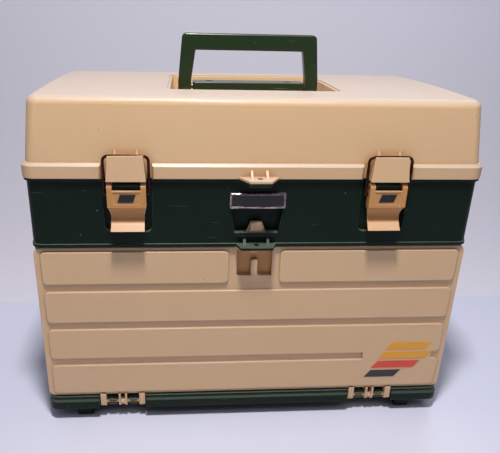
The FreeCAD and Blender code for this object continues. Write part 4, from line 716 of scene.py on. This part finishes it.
# %% Every moulding, pin and screw
# Big mouldings have the widest rounds. Pins, screws, films and the upper tub aren't in the table, so
# they stay crisp, and the bent wires are swept later.
EDGE_WIDTHS = {
    "lid_shell": 0.0006, "drawer_case": 0.0006, "door_panel": 0.0006, "handle": 0.0006,
    "handle_bracket": 0.0005, "latch_lever_left": 0.0005, "latch_lever_right": 0.0005,
    "door_latch": 0.0004, "nameplate_frame": 0.0003,
}
DRAWER_COUNT = 4
for number in range(1, DRAWER_COUNT + 1):
    EDGE_WIDTHS[f"drawer_{number}"] = 0.0005
    EDGE_WIDTHS[f"drawer_{number}_dividers"] = 0.0003
BENT_WIRES = ("bail_left", "bail_right")

for node in frame["nodes"]:
    if node not in BENT_WIRES:
        piece, folds = soft_copy(node, EDGE_WIDTHS.get(node, 0.0))
        print(node, len(piece.data.polygons), "faces,", folds, "folded slivers taken out")

# %% [markdown]
# ## Bent wire
# Each bail is one length of spring wire, bent at four corners. A node tree sweeps a round section along
# a path of six points and rounds the bends. Its inputs are the wire's radius and the bend's radius, and
# each point says what share of that radius its bend takes: the bends at the lever are tighter.

# %% The wire's node tree
WIRE_RADIUS = 0.0016
BEND_RADIUS = 0.006
PIN_LENGTH = 0.0075
BEND_SHARES = (0.0, 0.53, 1.0, 1.0, 0.53, 0.0)
BEND_STEPS = 8
WIRE_SIDES = 16


def wire_tree():
    """A node tree that turns a path of loose edges into bent round wire."""
    tree = bpy.data.node_groups.new("bent_wire", "GeometryNodeTree")
    for label, kind in (("Path", "Geometry"), ("Wire radius", "Float"), ("Bend radius", "Float"),
                        ("Finish", "Material")):
        tree.interface.new_socket(label, in_out="INPUT", socket_type="NodeSocket" + kind)
    tree.interface.new_socket("Wire", in_out="OUTPUT", socket_type="NodeSocketGeometry")
    start, end = tree.nodes.new("NodeGroupInput"), tree.nodes.new("NodeGroupOutput")
    curve = tree.nodes.new("GeometryNodeMeshToCurve")
    bends = tree.nodes.new("GeometryNodeFilletCurve")
    bends.mode = "POLY"
    bends.inputs["Count"].default_value = BEND_STEPS
    section = tree.nodes.new("GeometryNodeCurvePrimitiveCircle")
    section.inputs["Resolution"].default_value = WIRE_SIDES
    share = tree.nodes.new("GeometryNodeInputNamedAttribute")
    share.inputs["Name"].default_value = "bend_share"
    bend = tree.nodes.new("ShaderNodeMath")
    bend.operation = "MULTIPLY"
    tree.links.new(start.outputs["Bend radius"], bend.inputs[0])
    tree.links.new(share.outputs["Attribute"], bend.inputs[1])
    swept = tree.nodes.new("GeometryNodeCurveToMesh")
    swept.inputs["Fill Caps"].default_value = True
    real = tree.nodes.new("GeometryNodeRealizeInstances")
    finish = tree.nodes.new("GeometryNodeSetMaterial")
    for source, name, target, place in (
            (start, "Path", curve, "Mesh"), (curve, "Curve", bends, "Curve"),
            (bend, "Value", bends, "Radius"), (start, "Wire radius", section, "Radius"),
            (bends, "Curve", swept, "Curve"), (section, "Curve", swept, "Profile Curve"),
            (swept, "Mesh", real, "Geometry"), (real, "Geometry", finish, "Geometry"),
            (start, "Finish", finish, "Material"), (finish, "Geometry", end, "Wire")):
        tree.links.new(source.outputs[name], target.inputs[place])
    return tree


WIRE_TREE = wire_tree()
socket_ids = {item.name: item.identifier for item in WIRE_TREE.interface.items_tree if item.in_out == "INPUT"}
print("bent_wire:", len(WIRE_TREE.nodes), "nodes")

# %% The two bails
# A bail's path follows from the working piece's own box: the pins lie at its low inner end, and the bar
# that hooks over the keeper at its high outer end.
for node in BENT_WIRES:
    low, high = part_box(node)
    left, right = low.x + WIRE_RADIUS, high.x - WIRE_RADIUS
    pivot = (high.y - WIRE_RADIUS, low.z + WIRE_RADIUS)
    bar = (low.y + WIRE_RADIUS, high.z - WIRE_RADIUS)
    corners = [(left + PIN_LENGTH, *pivot), (left, *pivot), (left, *bar),
               (right, *bar), (right, *pivot), (right - PIN_LENGTH, *pivot)]
    path = bpy.data.meshes.new(node + "_path")
    path.from_pydata(corners, [(i, i + 1) for i in range(len(corners) - 1)], [])
    shares = path.attributes.new("bend_share", "FLOAT", "POINT")
    shares.data.foreach_set("value", BEND_SHARES)
    wire = bpy.data.objects.new(node + "_path", path)
    bpy.context.scene.collection.objects.link(wire)
    sweep = wire.modifiers.new("wire", "NODES")
    sweep.node_group = WIRE_TREE
    sweep[socket_ids["Wire radius"]] = WIRE_RADIUS
    sweep[socket_ids["Bend radius"]] = BEND_RADIUS
    sweep[socket_ids["Finish"]] = FINISHES[node_slot[node]]
    piece = finished(wire, node + "_wire")
    piece.data.polygons.foreach_set("use_smooth", [True] * len(piece.data.polygons))
    dress(piece, node)
    print(node, len(piece.data.polygons), "faces")
